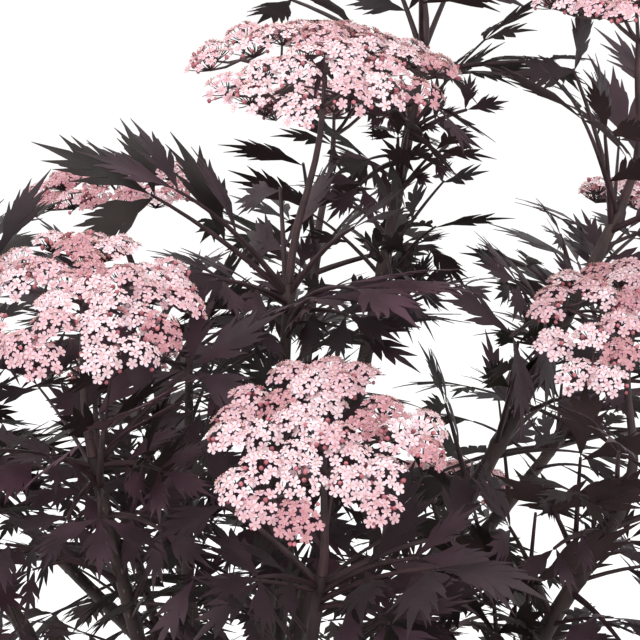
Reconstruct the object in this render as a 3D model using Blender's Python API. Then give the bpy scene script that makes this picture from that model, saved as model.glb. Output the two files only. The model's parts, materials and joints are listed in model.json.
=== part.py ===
"""Potted black elder: a young many-stemmed shrub with dark cut leaves and flat pink flower heads.

Metres, +Z up, the origin under the middle of the pot, the plant's front towards -Y.
One object for the pot, the compost, the trunk, each bough, each mass of foliage and each flower head.
"""

import math
import random

import bmesh
import bpy
import numpy as np
from mathutils import Vector
from mathutils.bvhtree import BVHTree

GAP = 0.0003  # clearance between solids that touch
UP = Vector((0, 0, 1))
SEED = 41
SLIVER = 0.0001  # edges and triangles thinner than this are closed up after a join

POT_HEIGHT = 0.240
POT_RIM_RADIUS = 0.140
POT_MOUTH_RADIUS = 0.132
POT_FOOT_RADIUS = 0.104
POT_WALL = 0.0035
POT_RIM_DEPTH = 0.022
POT_SIDES = 36
COMPOST_TOP = 0.216
COMPOST_CROWN = 0.006  # how far the compost stands higher round the trunk than at the pot's wall

TRUNK_TOP = (0.004, 0.001, 0.300)
TRUNK_UPRIGHT = 0.045  # how far its line goes straight up from the compost before it leans
TRUNK_RADII = (0.024, 0.0195, 0.0165, 0.0160, 0.0150)  # the root flare first
TRUNK_SIDES = 10
BOUGH_SIDES, SHOOT_SIDES, TWIG_SIDES, STALK_SIDES = 6, 5, 3, 5
BOUGH_RINGS = 5

# A compound leaf: the rachis, two pairs of side leaflets and one at the end.
RACHIS_SHARE = 0.56  # of the leaf's length, the end leaflet takes the rest
RACHIS_RADIUS = 0.0013
TWIG_START = 0.003  # where it leaves the stem's skin
PAIR_PLACES = (0.46, 0.97)  # along the rachis
PAIR_LENGTHS = (0.46, 0.40)  # of the leaf's length
PAIR_FOOT = 0.0055  # length of rachis that a pair's feet take
PAIR_SPREADS = (50, 60)  # degrees from the rachis, give or take PAIR_PLAY
PAIR_PLAY = 4
LEAFLET_WIDTH = 0.37  # of its length, lobes included
LEAFLET_WIDEST = 0.42  # share of its length where it is widest
LEAFLET_THICKNESS = 0.009  # of its length
LEAF_TRIES = 12
LEAF_PLAY = 0.05  # how much further off each try may go, as a share of the leaf's length
CHOSEN_TRIES, CHOSEN_PLAY = 20, 0.02  # for a leaf placed by hand
TRY_SHORTER = 0.6  # how much of that play also shortens the leaf
FEWEST_LEAFLETS = 3  # a leaf that finds room for fewer is left out

# How leaves hold themselves: they arch out, and turn their faces outward as far as they point sideways.
CROWN_AXIS = (0.03, 0.04)
FACING = (0.35, 1.15)
FRONT_FACING = (0.75, 1.20)  # of the leaves placed by hand, towards the front
FACING_PLAY = 0.22
ARCH = (0.10, 0.24)  # of the leaf's length
SAG = (0.06, 0.26)  # of a leaflet's length
HEIGHTS = (34, 14, -4, -20)  # degrees over level of the leaves at each node down from the top

OVERREACH = 0.030  # how much closer a leaf may come to another mass's stem than to its own
CLEARANCE = 0.0016  # from a leaf to anything of another object
LEAF_APART = 0.010  # between blades of one mass
MASS_REACH = 0.190
TOP_NODE = 0.007  # the top pair of leaves stands this far below the shoot's end
LOWEST_LEAF = 0.252

# A flower head: a stalk, five rays with a cluster each and a small cluster in the middle.
HEAD_RISE = 0.60  # of the head's radius, from the fork up to the flowers
HEAD_DOME = 0.26  # of the radius, how far the rim lies below the middle
CLUSTER_DEPTH = 0.0035
# a ray's cluster in shares of the head's radius and degrees to each side of the ray
CLUSTER_OUTLINE = ((1.0, -11), (1.0, 11), (0.86, 28), (0.58, 31),
                   (0.34, 23), (0.34, -23), (0.58, -31), (0.86, -28))

# The picture plane that the sky gaps are measured on: the plant seen from the front and a little above.
VIEW_TARGET = Vector((0.047, 0.0, 0.65))
VIEW_DISTANCE = 1.4
VIEW_ABOVE = math.radians(12)
# centre across and up from the target, and half width and height, of each gap that shows sky
SKY_GAPS = (
    (-0.137, 0.146, 0.066, 0.040),
    (0.120, 0.084, 0.034, 0.026),
    (0.068, 0.061, 0.015, 0.013),
    (0.016, 0.031, 0.014, 0.010),
    (0.074, -0.017, 0.017, 0.009),
    (0.082, -0.048, 0.012, 0.009),
    (0.126, -0.073, 0.022, 0.011),
    (0.110, -0.112, 0.015, 0.011),
    (0.155, -0.140, 0.015, 0.020),
    (-0.137, -0.142, 0.012, 0.010),
    (-0.153, -0.047, 0.012, 0.010),
    (-0.078, 0.052, 0.010, 0.010),
)


class Cane:
    """One stem of the shrub from its foot on a parent to its top node: a bare bough, then a leafy shoot."""

    def __init__(self, name, parent, share, tip, foot, end, leafy, turn, leaf=0.172, nodes=3, rise=0.2,
                 lift=0.2, spacing=0.058, head=None):
        self.name, self.parent, self.share = name, parent, share
        self.tip = Vector(tip)
        self.foot_radius, self.tip_radius = foot, end
        self.leafy = leafy  # share of the cane where its foliage starts
        self.turn = math.radians(turn)
        self.leaf, self.nodes, self.spacing = leaf, nodes, spacing
        self.rise, self.lift = rise, lift
        self.head = head  # (fork, lean of the axis in x and y, radius) or None
        self.curve = None

    def radius(self, t):
        return self.foot_radius + (self.tip_radius - self.foot_radius) * t


CANES = (
    Cane("centre", "trunk", 1.00, (0.031, -0.010, 0.672), 0.0078, 0.0026, 0.48, 20, spacing=0.046,
         head=((0.0485, -0.020, 0.765), (0.05, -0.22), 0.069)),
    Cane("tall", "centre", 0.26, (0.103, 0.060, 0.790), 0.0056, 0.0026, 0.60, 75, rise=-0.3, lift=0.4,
         head=((0.101, 0.062, 0.832), (0.05, -0.10), 0.055)),
    Cane("right_tall", "trunk", 0.86, (0.207, 0.020, 0.709), 0.0066, 0.0030, 0.52, 60, rise=0.35,
         lift=0.1, spacing=0.046, head=((0.211, 0.000, 0.796), (0.05, 0.00), 0.056)),
    Cane("right", "trunk", 0.50, (0.201, -0.060, 0.567), 0.0068, 0.0040, 0.56, 100, rise=-0.2,
         lift=0.3, spacing=0.040, head=((0.204, -0.056, 0.643), (0.15, -0.45), 0.059)),
    Cane("front", "trunk", 0.72, (0.048, -0.130, 0.551), 0.0060, 0.0028, 0.46, 35, rise=-0.1, lift=0.3,
         head=((0.049, -0.150, 0.607), (0.05, -0.60), 0.061)),
    Cane("left", "trunk", 0.66, (-0.066, -0.090, 0.600), 0.0062, 0.0030, 0.50, 10, rise=-0.1, lift=0.2,
         head=((-0.069, -0.099, 0.666), (0.05, -0.45), 0.060)),
    Cane("left_inner", "left", 0.36, (-0.024, 0.040, 0.628), 0.0040, 0.0020, 0.36, 50),
    Cane("far_left", "left", 0.20, (-0.185, -0.030, 0.651), 0.0052, 0.0028, 0.48, 20, rise=-0.2, lift=0.5,
         head=((-0.205, -0.036, 0.705), (-0.25, -0.20), 0.058)),
    Cane("back_left", "trunk", 0.90, (-0.050, 0.120, 0.619), 0.0062, 0.0028, 0.48, 85, rise=0.0,
         spacing=0.040, head=((-0.067, 0.122, 0.685), (-0.10, -0.05), 0.055)),
    Cane("back_centre", "trunk", 0.80, (0.045, 0.165, 0.660), 0.0064, 0.0028, 0.50, 65, rise=-0.1,
         spacing=0.046, head=((0.055, 0.180, 0.722), (0.02, 0.25), 0.055)),
    Cane("back_right", "back_centre", 0.30, (0.225, 0.165, 0.600), 0.0050, 0.0028, 0.46, 15, rise=-0.2,
         lift=0.4, head=((0.250, 0.175, 0.660), (0.35, 0.15), 0.056)),
    Cane("far_right", "right", 0.42, (0.280, -0.015, 0.490), 0.0042, 0.0026, 0.38, 55, rise=-0.1, lift=0.4,
         head=((0.308, -0.024, 0.560), (0.40, -0.15), 0.056)),
    Cane("low_right", "right", 0.26, (0.185, -0.165, 0.420), 0.0044, 0.0026, 0.36, 25, rise=-0.3, lift=0.5,
         head=((0.210, -0.190, 0.480), (0.35, -0.40), 0.054)),
    Cane("back_far_left", "back_left", 0.36, (-0.190, 0.135, 0.585), 0.0042, 0.0026, 0.40, 70, lift=0.4,
         head=((-0.220, 0.148, 0.655), (-0.35, 0.15), 0.055)),
    Cane("back_low", "back_left", 0.24, (-0.075, 0.205, 0.500), 0.0040, 0.0024, 0.38, 5, rise=-0.2, lift=0.4,
         head=((-0.090, 0.226, 0.560), (-0.10, 0.40), 0.052)),
    Cane("low_left", "far_left", 0.32, (-0.195, -0.150, 0.440), 0.0038, 0.0024, 0.34, 45, rise=-0.3, lift=0.5,
         head=((-0.220, -0.175, 0.500), (-0.40, -0.35), 0.054)),
    Cane("back_mid", "back_centre", 0.18, (0.110, 0.225, 0.420), 0.0042, 0.0024, 0.36, 80, rise=-0.3,
         lift=0.5, head=((0.122, 0.250, 0.475), (0.10, 0.45), 0.052)),
    Cane("front_low_left", "front", 0.32, (-0.045, -0.170, 0.430), 0.0034, 0.0020, 0.34, 30, rise=-0.3,
         lift=0.5),
    Cane("front_low_right", "front", 0.24, (0.105, -0.180, 0.415), 0.0036, 0.0020, 0.36, 75, rise=-0.3,
         lift=0.5),
)

# The leaves that shape the front, placed by hand: share along the cane, the leaf's tip and its arch.
CHOSEN_LEAVES = {
    "centre": ((0.995, (-0.072, -0.060, 0.774), 0.32), (0.985, (-0.060, -0.050, 0.730), 0.32),
               (0.97, (-0.032, -0.090, 0.709), 0.15), (0.96, (-0.006, -0.100, 0.662), 0.3),
               (0.985, (0.088, -0.070, 0.723), 0.3), (0.95, (0.094, -0.090, 0.670), 0.25),
               (0.93, (0.062, -0.120, 0.663), 0.3)),
    "tall": ((0.87, (0.179, 0.062, 0.749), 0.2), (0.84, (0.048, 0.010, 0.692), 0.3),
             (0.8, (0.088, 0.020, 0.761), 0.12), (0.995, (0.120, 0.045, 0.862), 0.15),
             (0.985, (0.072, 0.090, 0.852), 0.2), (0.82, (0.156, 0.060, 0.710), 0.32)),
    "right_tall": ((0.99, (0.133, 0.000, 0.821), 0.3), (0.97, (0.188, -0.030, 0.783), 0.1),
                   (0.84, (0.115, -0.040, 0.718), 0.15), (0.98, (0.244, 0.010, 0.786), 0.3)),
    "right": ((0.99, (0.161, -0.110, 0.666), 0.2), (0.97, (0.124, -0.115, 0.595), 0.3),
              (0.95, (0.138, -0.120, 0.532), 0.3), (0.98, (0.232, -0.110, 0.634), 0.3)),
    "front": ((0.97, (-0.006, -0.190, 0.555), 0.25), (0.96, (0.130, -0.195, 0.569), 0.25),
              (0.93, (0.101, -0.235, 0.549), 0.32), (0.91, (0.033, -0.225, 0.545), 0.32)),
    "left": ((0.98, (-0.004, -0.130, 0.583), 0.3), (0.96, (-0.087, -0.140, 0.545), 0.32),
             (0.94, (-0.056, -0.180, 0.554), 0.32), (0.95, (-0.101, -0.140, 0.606), 0.3),
             (0.9, (0.014, -0.150, 0.575), 0.25)),
    "far_left": ((0.995, (-0.068, -0.090, 0.757), 0.16), (0.99, (-0.054, -0.110, 0.728), 0.2),
                 (0.97, (-0.166, -0.110, 0.683), 0.3)),
    "left_inner": ((0.99, (0.001, -0.020, 0.665), 0.2), (0.98, (-0.044, 0.020, 0.640), 0.3),
                   (0.99, (0.010, 0.000, 0.609), 0.25)),
}


def bezier(points, t):
    """The point at t on a curve of three or four control points."""
    while len(points) > 1:
        points = [a.lerp(b, t) for a, b in zip(points, points[1:])]
    return points[0]


def tangent(points, t, step=0.002):
    return (bezier(points, min(t + step, 1)) - bezier(points, max(t - step, 0))).normalized()


def cane_curve(cane, foot):
    """A bough's line: it leaves its foot and reaches its tip a little off the straight way between them."""
    chord = cane.tip - foot
    leave = (chord.normalized() + UP * cane.rise).normalized()
    arrive = (chord.normalized() + UP * cane.lift).normalized()
    third = chord.length / 3
    return [foot, foot + leave * third, cane.tip - arrive * third, cane.tip]


def lay_out_canes():
    """Every cane's curve by name, each foot on the middle line of its parent."""
    soil = Vector((0, 0, COMPOST_TOP + GAP))
    curves = {"trunk": [soil, soil + UP * TRUNK_UPRIGHT, Vector(TRUNK_TOP)]}
    for cane in CANES:
        foot = bezier(curves[cane.parent], cane.share)
        if cane.share == 1:
            foot = foot + UP * GAP
        cane.curve = curves[cane.name] = cane_curve(cane, foot)
    return curves


def head_axes(cane):
    """A head's fork, its axis and two directions across it."""
    fork, lean, _ = cane.head
    axis = Vector((*lean, 1)).normalized()
    across = axis.cross(Vector((0, 1, 0))).normalized()
    return Vector(fork), axis, across, axis.cross(across)


def flower_stalk(cane):
    """The stalk's line from the cane's top node to the head's fork."""
    fork, axis, _, _ = head_axes(cane)
    ahead = tangent(cane.curve, 1)
    start = cane.tip + ahead * GAP
    reach = (fork - start).length * 0.4
    return [start, start + ahead * reach, fork - axis * reach, fork]


def line_pieces(points):
    line = np.array([list(p) for p in points])
    return line[:-1], line[1:]


def distance(points, starts, ends):
    """From each point to the nearest of the pieces of a line."""
    along = ends - starts
    length = np.maximum((along**2).sum(1), 1e-12)
    offset = points[:, None, :] - starts[None]
    share = np.clip((offset * along[None]).sum(2) / length[None], 0, 1)
    gap = offset - share[..., None] * along[None]
    return np.sqrt((gap**2).sum(2)).min(1)


class Shape:
    """Corners and faces gathered from several shapes, to test for crossings."""

    def __init__(self):
        self.corners, self.faces = [], []

    def add(self, corners, faces):
        first = len(self.corners)
        self.corners += [tuple(corner) for corner in corners]
        self.faces += [tuple(first + index for index in face) for face in faces]
        return self

    def add_object(self, obj):
        return self.add([v.co for v in obj.data.vertices], [f.vertices for f in obj.data.polygons])

    def tree(self):
        return BVHTree.FromPolygons(self.corners, self.faces)


class Crown:
    """Says which places are free for a mass's leaves: near its own stem and clear of all other objects."""

    def __init__(self, solids, shoots):
        steps = [k / 8 for k in range(9)]
        self.axes, self.heads = {}, []
        for cane in CANES:
            leafy = [cane.leafy + (1 - cane.leafy) * s for s in steps]
            self.axes[cane.name] = line_pieces([bezier(cane.curve, t) for t in leafy])
            if cane.head:
                self.heads.append((*head_axes(cane)[:2], cane.head[2]))
        fixed = Shape()
        for obj in solids:
            fixed.add_object(obj)
        self.fixed = fixed.tree()
        self.masses = {name: Shape().add_object(shoot) for name, shoot in shoots.items()}
        self.trees = {name: mass.tree() for name, mass in self.masses.items()}
        self.blades = {cane.name: np.zeros((0, 3)) for cane in CANES}

    def crosses(self, name, shape):
        """True where a shape meets a limb, a head, the pot or another mass."""
        tree = shape.tree()
        if tree.overlap(self.fixed):
            return True
        return any(tree.overlap(other) for owner, other in self.trees.items() if owner != name)

    def keep(self, name, leaf):
        mass = self.masses[name]
        mass.add(*leaf.twig_shape())
        for blade in leaf.leaflets:
            mass.add(*blade.shape())
        self.trees[name] = mass.tree()
        self.blades[name] = np.vstack([self.blades[name], *[blade.samples() for blade in leaf.leaflets]])

    def in_sky_gap(self, points):
        """True where a point would hide one of the gaps from the front."""
        toward = np.array([0, math.cos(VIEW_ABOVE), -math.sin(VIEW_ABOVE)])
        upward = np.array([0, math.sin(VIEW_ABOVE), math.cos(VIEW_ABOVE)])
        offset = points - np.array(VIEW_TARGET)
        scale = VIEW_DISTANCE / (VIEW_DISTANCE + offset @ toward)
        across, up = offset[:, 0] * scale, offset @ upward * scale
        hidden = np.zeros(len(points), bool)
        for x, z, half_width, half_height in SKY_GAPS:
            hidden |= ((across - x) / half_width) ** 2 + ((up - z) / half_height) ** 2 < 1
        return hidden

    def in_head(self, points):
        """True where a point lies within a flower head or close to it."""
        inside = np.zeros(len(points), bool)
        for fork, axis, radius in self.heads:
            offset = points - np.array(fork)
            up = offset @ np.array(axis)
            out = np.sqrt(np.maximum((offset**2).sum(1) - up**2, 0))
            cone = np.clip(up / (radius * HEAD_RISE * 0.75), 0, 1) * radius * 1.02 + 0.003
            inside |= (up > -0.002) & (up < radius * HEAD_RISE + 0.012) & (out < cone)
        return inside

    def free(self, name, points, blade):
        """Whether all the points of a twig or a blade may belong to the mass of that name."""
        own = distance(points, *self.axes[name])
        if own.max() > MASS_REACH or points[:, 2].min() < LOWEST_LEAF:
            return False
        for other, pieces in self.axes.items():
            if other != name and (distance(points, *pieces) < own - OVERREACH).any():
                return False
        if self.in_head(points).any():
            return False
        if not blade:
            return True
        if self.in_sky_gap(points).any():
            return False
        kept = self.blades[name]
        if not len(kept):
            return True
        gap = np.sqrt(((points[:, None] - kept[None]) ** 2).sum(2)).min(1)
        return bool((gap > LEAF_APART).all())


class Leaflet:
    """A cut blade: its foot on the rachis, the way that it points, its upper side and its length."""

    def __init__(self, pair, foot, way, normal, length, sag):
        self.pair, self.foot, self.way, self.normal = pair, foot, way, normal
        self.across = normal.cross(way).normalized()
        self.length, self.sag = length, sag
        self.half_width = length * LEAFLET_WIDTH / 2

    def point(self, along, across=0.0, lift=0.0):
        """A point of the blade at a share of its length and of its half width."""
        drop = self.sag * self.length * along * along
        place = self.foot + self.way * (self.length * along) + self.across * (across * self.half_width)
        return place + self.normal * (lift - drop)

    def shape(self):
        """The blade, thicker by the clearance."""
        half = CLEARANCE + self.length * LEAFLET_THICKNESS / 2
        widest = LEAFLET_WIDEST
        edge = 1.04
        corners = [self.point(0.06), self.point(widest, edge, half), self.point(widest, -edge, half),
                   self.point(widest, -edge, -half), self.point(widest, edge, -half), self.point(1.02)]
        faces = ((0, 1, 2), (0, 2, 3), (0, 3, 4), (0, 4, 1), (5, 2, 1), (5, 3, 2), (5, 4, 3), (5, 1, 4))
        return corners, faces

    def samples(self):
        widest = LEAFLET_WIDEST
        marks = ((0.26, 0), (widest, 1), (widest, -1), (0.62, 0.62), (0.62, -0.62), (0.8, 0), (1, 0))
        return np.array([list(self.point(*mark)) for mark in marks])


class Leaf:
    """A compound leaf: a rachis that arches out and droops, with leaflets in pairs and one at the end."""

    def __init__(self, foot, tip, arch, to_front, draw):
        self.length = (tip - foot).length
        middle = foot.lerp(tip, 0.5)
        self.line = [foot, middle + UP * (arch * self.length), tip]
        outward = (middle - Vector((*CROWN_AXIS, middle.z))).normalized()
        if to_front:
            outward = Vector((0, -1, 0))
        level = (tip - foot).cross(UP).normalized()
        facing = FRONT_FACING if to_front else FACING
        self.roll = draw.uniform(*facing) * outward.dot(level) + draw.uniform(-FACING_PLAY, FACING_PLAY)
        self.leaflets = [self.leaflet(None, 1.0, 0, 1 - RACHIS_SHARE, draw)]
        for pair, (place, size) in enumerate(zip(PAIR_PLACES, PAIR_LENGTHS)):
            for hand in (1, -1):
                grown = size * draw.uniform(0.92, 1.08)
                self.leaflets.append(self.leaflet(pair, place, hand, grown, draw))

    def side(self, ahead):
        """The way across the leaf, square to its rachis."""
        flat = ahead.cross(UP).normalized()
        return flat * math.cos(self.roll) - flat.cross(ahead) * math.sin(self.roll)

    def leaflet(self, pair, place, hand, size, draw):
        t = place * RACHIS_SHARE
        ahead = tangent(self.line, t)
        side = self.side(ahead)
        normal = side.cross(ahead).normalized()
        spread = math.radians(PAIR_SPREADS[pair or 0] + draw.uniform(-PAIR_PLAY, PAIR_PLAY)) * hand
        way = ahead * math.cos(spread) + side * math.sin(spread)
        return Leaflet(pair, bezier(self.line, t), way, normal, self.length * size, draw.uniform(*SAG))

    def rachis(self, count=5):
        return [bezier(self.line, RACHIS_SHARE * k / (count - 1)) for k in range(count)]

    def twig_shape(self):
        """The rachis beyond the stem that it stands on, thicker by the clearance."""
        points = self.rachis()
        points[0] = points[0] + (points[1] - points[0]).normalized() * TWIG_START
        ahead = (points[-1] - points[0]).normalized()
        side = ahead.cross(UP).normalized()
        around = (side, side.cross(ahead) * 0.9 - side * 0.5, -side.cross(ahead) * 0.9 - side * 0.5)
        corners = [p + way * (RACHIS_RADIUS + CLEARANCE) for p in points for way in around]
        faces = [(3 * k + a, 3 * k + b, 3 * k + b + 3, 3 * k + a + 3) for k in range(len(points) - 1)
                 for a, b in ((0, 1), (1, 2), (2, 0))]
        return corners, faces


def room_for(crown, name, leaf):
    """The leaf's blades that keep to the mass's own space and clear of each other."""
    fits, trees = [], []
    for blade in leaf.leaflets:
        shape = Shape().add(*blade.shape())
        if not crown.free(name, blade.samples(), True) or crown.crosses(name, shape):
            continue
        tree = shape.tree()
        if any(tree.overlap(other) for other in trees):
            continue
        fits.append(blade)
        trees.append(tree)
    return fits


def best_leaf(crown, cane, aim, draw, tries=LEAF_TRIES, play=LEAF_PLAY):
    """The fullest of several tries at one leaf that keep to the mass's own space, or None."""
    best, kept = None, []
    foot, tip, arch = aim
    reach = tip - foot
    for trial in range(tries):
        loose = play * trial
        shake = Vector((draw.uniform(-1, 1), draw.uniform(-1, 1), draw.uniform(-1, 1)))
        way = (reach + shake * (loose * reach.length)).normalized()
        end = foot + way * (reach.length * (1 - TRY_SHORTER * loose))
        bow = arch or draw.uniform(*ARCH)
        leaf = Leaf(foot, end, bow, arch is not None, draw)
        twig = np.array([list(p) for p in leaf.rachis()[1:]])
        if not crown.free(cane.name, twig, False):
            continue
        if crown.crosses(cane.name, Shape().add(*leaf.twig_shape())):
            continue
        fits = room_for(crown, cane.name, leaf)
        if len(fits) > len(kept):
            best, kept = leaf, fits
        if len(kept) == len(leaf.leaflets):
            break
    if len(kept) < FEWEST_LEAFLETS:
        return None
    best.leaflets = kept
    crown.keep(cane.name, best)
    return best


def line_length(line, steps=20):
    return sum((bezier(line, (k + 1) / steps) - bezier(line, k / steps)).length for k in range(steps))


def chosen_aims(cane):
    """Foot, tip and arch of each leaf placed by hand."""
    highest = 1 - TOP_NODE / line_length(cane.curve)
    return [(bezier(cane.curve, min(t, highest)), Vector(tip), arch)
            for t, tip, arch in CHOSEN_LEAVES.get(cane.name, ())]


def node_aims(cane, draw):
    """Foot and tip of each leaf that the rule asks for, in pairs from the top node down.

    Each pair stands at right angles to the last, the upper leaves rise and the lower ones hang a little.
    """
    length, aims = line_length(cane.curve), []
    drops = [TOP_NODE, TOP_NODE + 0.010] + [0.016 + cane.spacing * (k + 1) for k in range(cane.nodes)]
    for node, drop in enumerate(drops):
        t = 1 - drop / length
        if t < cane.leafy + 0.02:
            break
        foot = bezier(cane.curve, t)
        for k in range(2):
            spin = cane.turn + node * math.pi / 2 + k * math.pi + draw.uniform(-0.15, 0.15)
            height = math.radians(HEIGHTS[min(node, 3)]) + draw.uniform(-0.1, 0.1)
            level = math.cos(height)
            way = Vector((math.cos(spin) * level, math.sin(spin) * level, math.sin(height)))
            aims.append((foot, foot + way * (cane.leaf * draw.uniform(0.9, 1.06)), None))
    return aims


def grow_leaves(crown):
    """Every mass's leaves: those placed by hand on all canes first, then the rest."""
    draws = {cane.name: random.Random(f"{SEED} {cane.name}") for cane in CANES}
    found = {cane.name: [] for cane in CANES}
    for cane in CANES:
        for aim in chosen_aims(cane):
            found[cane.name].append(best_leaf(crown, cane, aim, draws[cane.name], CHOSEN_TRIES, CHOSEN_PLAY))
    for cane in CANES:
        for aim in node_aims(cane, draws[cane.name]):
            found[cane.name].append(best_leaf(crown, cane, aim, draws[cane.name]))
    return {name: [leaf for leaf in leaves if leaf] for name, leaves in found.items()}


def straight_tube(bm, rings, sides):
    """A closed tube of unit radius along Z with its rings at whole heights. The first corner lies at +Y."""
    made = bmesh.ops.create_cone(bm, cap_ends=True, segments=sides, radius1=1, radius2=1, depth=1)["verts"]
    bmesh.ops.translate(bm, verts=made, vec=(0, 0, 0.5))
    end = max((f for v in made for f in v.link_faces), key=lambda f: f.calc_center_median().z)
    for _ in range(rings - 2):
        end = bmesh.ops.extrude_discrete_faces(bm, faces=[end])["faces"][0]
        bmesh.ops.translate(bm, verts=end.verts[:], vec=UP)
    return end


def bend(verts, places, ways, radii, first_side=None):
    """Moves each ring of a straight tube to its place, square to its way and of its radius."""
    side = first_side or ways[0].orthogonal()
    frames = []
    for way in ways:
        side = (side - way * side.dot(way)).normalized()
        frames.append((side, way.cross(side)))
    for vertex in verts:
        k = round(vertex.co.z)
        across, above = frames[k]
        vertex.co = places[k] + (across * vertex.co.x + above * vertex.co.y) * radii[k]


def rod(name, line, radii, sides, start=0.0, end=1.0):
    """A tapering limb along part of a line."""
    bm = bmesh.new()
    straight_tube(bm, len(radii), sides)
    marks = [start + (end - start) * k / (len(radii) - 1) for k in range(len(radii))]
    bend(bm.verts, [bezier(line, t) for t in marks], [tangent(line, t) for t in marks], radii)
    return object_of(name, bm)


def object_of(name, bm, smooth=False):
    bmesh.ops.recalc_face_normals(bm, faces=bm.faces[:])
    if bm.calc_volume(signed=True) < 0:
        bmesh.ops.reverse_faces(bm, faces=bm.faces[:])
    mesh = bpy.data.meshes.new(name)
    bm.to_mesh(mesh)
    bm.free()
    if smooth:
        mesh.shade_smooth()
        mesh.set_sharp_from_angle(angle=math.radians(35))
    obj = bpy.data.objects.new(name, mesh)
    bpy.context.scene.collection.objects.link(obj)
    return obj


def reshape(face, points):
    """Moves a face's corners to as many points, given the same way round, with the least twist."""
    corners = face.verts[:]
    centre = face.calc_center_median()
    middle = sum(points, Vector()) / len(points)

    def twist(turn):
        pairs = zip(corners, points[turn:] + points[:turn])
        return sum(((v.co - centre).normalized() - (p - middle).normalized()).length_squared
                   for v, p in pairs)

    turn = min(range(len(points)), key=twist)
    for vertex, point in zip(corners, points[turn:] + points[:turn]):
        vertex.co = point


def draw_out(bm, face, points):
    """Extrudes one face to a new outline and gives back the face at its end."""
    end = bmesh.ops.extrude_discrete_faces(bm, faces=[face])["faces"][0]
    reshape(end, points)
    return end


def close_to(bm, face, point):
    """Ends a face in one corner."""
    bmesh.ops.poke(bm, faces=[face])["verts"][0].co = point


def blade_out(bm, face, leaflet):
    """Draws a leaflet out of a face of its leaf's rachis: a ring at its widest, then the tip."""
    half = leaflet.length * LEAFLET_THICKNESS / 2
    marks = ((1, half), (-1, half), (-1, -half), (1, -half))
    if len(face.verts) == 3:
        marks = ((1, 0), (0, 2 * half), (-1, 0))
    ring = [leaflet.point(LEAFLET_WIDEST, *mark) for mark in marks]
    close_to(bm, draw_out(bm, face, ring), leaflet.point(1.0))


def leaf_solid(leaf):
    """One closed solid: a three-sided rachis with its leaflets drawn out of its sides and its end."""
    bm = bmesh.new()
    half = PAIR_FOOT / 2 / leaf.length
    low, high = (place * RACHIS_SHARE for place in PAIR_PLACES)
    marks = [0.0, low - half, low + half, high - half, RACHIS_SHARE]
    end = straight_tube(bm, len(marks), TWIG_SIDES)
    sides = {}
    for face in bm.faces:
        centre = face.calc_center_median()
        if abs(face.normal.z) < 0.5 and centre.y > -0.1:
            sides[(math.floor(centre.z), centre.x > 0)] = face
    places, ways = [bezier(leaf.line, t) for t in marks], [tangent(leaf.line, t) for t in marks]
    radii = [RACHIS_RADIUS * (1.25 - 0.5 * k / (len(marks) - 1)) for k in range(len(marks))]
    places[0] += ways[0] * 0.0012
    bend(bm.verts, places, ways, radii, -leaf.side(ways[0]))
    bm.normal_update()
    feet = []
    for leaflet in leaf.leaflets:
        if leaflet.pair is None:
            feet.append(end)
            continue
        choice = [sides[(1 + 2 * leaflet.pair, hand)] for hand in (True, False)]
        feet.append(max(choice, key=lambda face: face.normal.dot(leaflet.way)))
    for face, leaflet in zip(feet, leaf.leaflets):
        blade_out(bm, face, leaflet)
    return object_of("leaf", bm)


def fuse(stem, parts):
    """Joins the parts to the stem as one solid."""
    group = bpy.data.collections.new("parts of " + stem.name)
    for part in parts:
        bpy.context.scene.collection.objects.unlink(part)
        group.objects.link(part)
    joined = stem.modifiers.new("join", "BOOLEAN")
    joined.operation = "UNION"
    joined.operand_type = "COLLECTION"
    joined.collection = group
    joined.solver = "MANIFOLD"
    apply_modifiers(stem)
    for part in parts:
        bpy.data.objects.remove(part)
    bpy.data.collections.remove(group)
    keep_largest(stem)


def apply_modifiers(obj):
    graph = bpy.context.evaluated_depsgraph_get()
    mesh = bpy.data.meshes.new_from_object(obj.evaluated_get(graph))
    obj.modifiers.clear()
    old = obj.data
    obj.data = mesh
    bpy.data.meshes.remove(old)
    mesh.name = obj.name
    mesh.materials.clear()


def keep_largest(obj):
    """Drops the loose scraps and the slivers that a cut or a join leaves."""
    bm = without_slivers(obj.data)
    left, islands = set(bm.verts), []
    while left:
        stack, island = [left.pop()], []
        while stack:
            vertex = stack.pop()
            island.append(vertex)
            for edge in vertex.link_edges:
                other = edge.other_vert(vertex)
                if other in left:
                    left.remove(other)
                    stack.append(other)
        islands.append(island)
    islands.sort(key=len)
    scraps = [v for island in islands[:-1] for v in island]
    bmesh.ops.delete(bm, geom=scraps, context="VERTS")
    bm.to_mesh(obj.data)
    bm.free()


def without_slivers(mesh):
    """The mesh with its shortest edges and thinnest triangles closed up, or as it is where that opens it."""
    bm = bmesh.new()
    bm.from_mesh(mesh)
    bmesh.ops.triangulate(bm, faces=bm.faces[:])
    bmesh.ops.dissolve_degenerate(bm, dist=SLIVER, edges=bm.edges[:])
    bmesh.ops.triangulate(bm, faces=bm.faces[:])
    if all(edge.is_manifold for edge in bm.edges):
        return bm
    bm.clear()
    bm.from_mesh(mesh)
    return bm


def material(name, colour, roughness):
    made = bpy.data.materials.new(name)
    made.use_nodes = True
    shader = made.node_tree.nodes["Principled BSDF"]
    shader.inputs["Base Color"].default_value = (*colour, 1)
    shader.inputs["Roughness"].default_value = roughness
    return made


def turned(name, profile, sides):
    """A solid turned about Z from an outline of (radius, height) points that starts and ends on the axis."""
    bm = bmesh.new()
    ring = [bm.verts.new((radius, 0, height)) for radius, height in profile]
    edges = [bm.edges.new(pair) for pair in zip(ring, ring[1:])]
    bmesh.ops.spin(bm, geom=ring + edges, cent=(0, 0, 0), axis=(0, 0, 1), angle=math.tau, steps=sides,
                   use_merge=True)
    bmesh.ops.remove_doubles(bm, verts=bm.verts[:], dist=1e-6)
    return object_of(name, bm, smooth=True)


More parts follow.
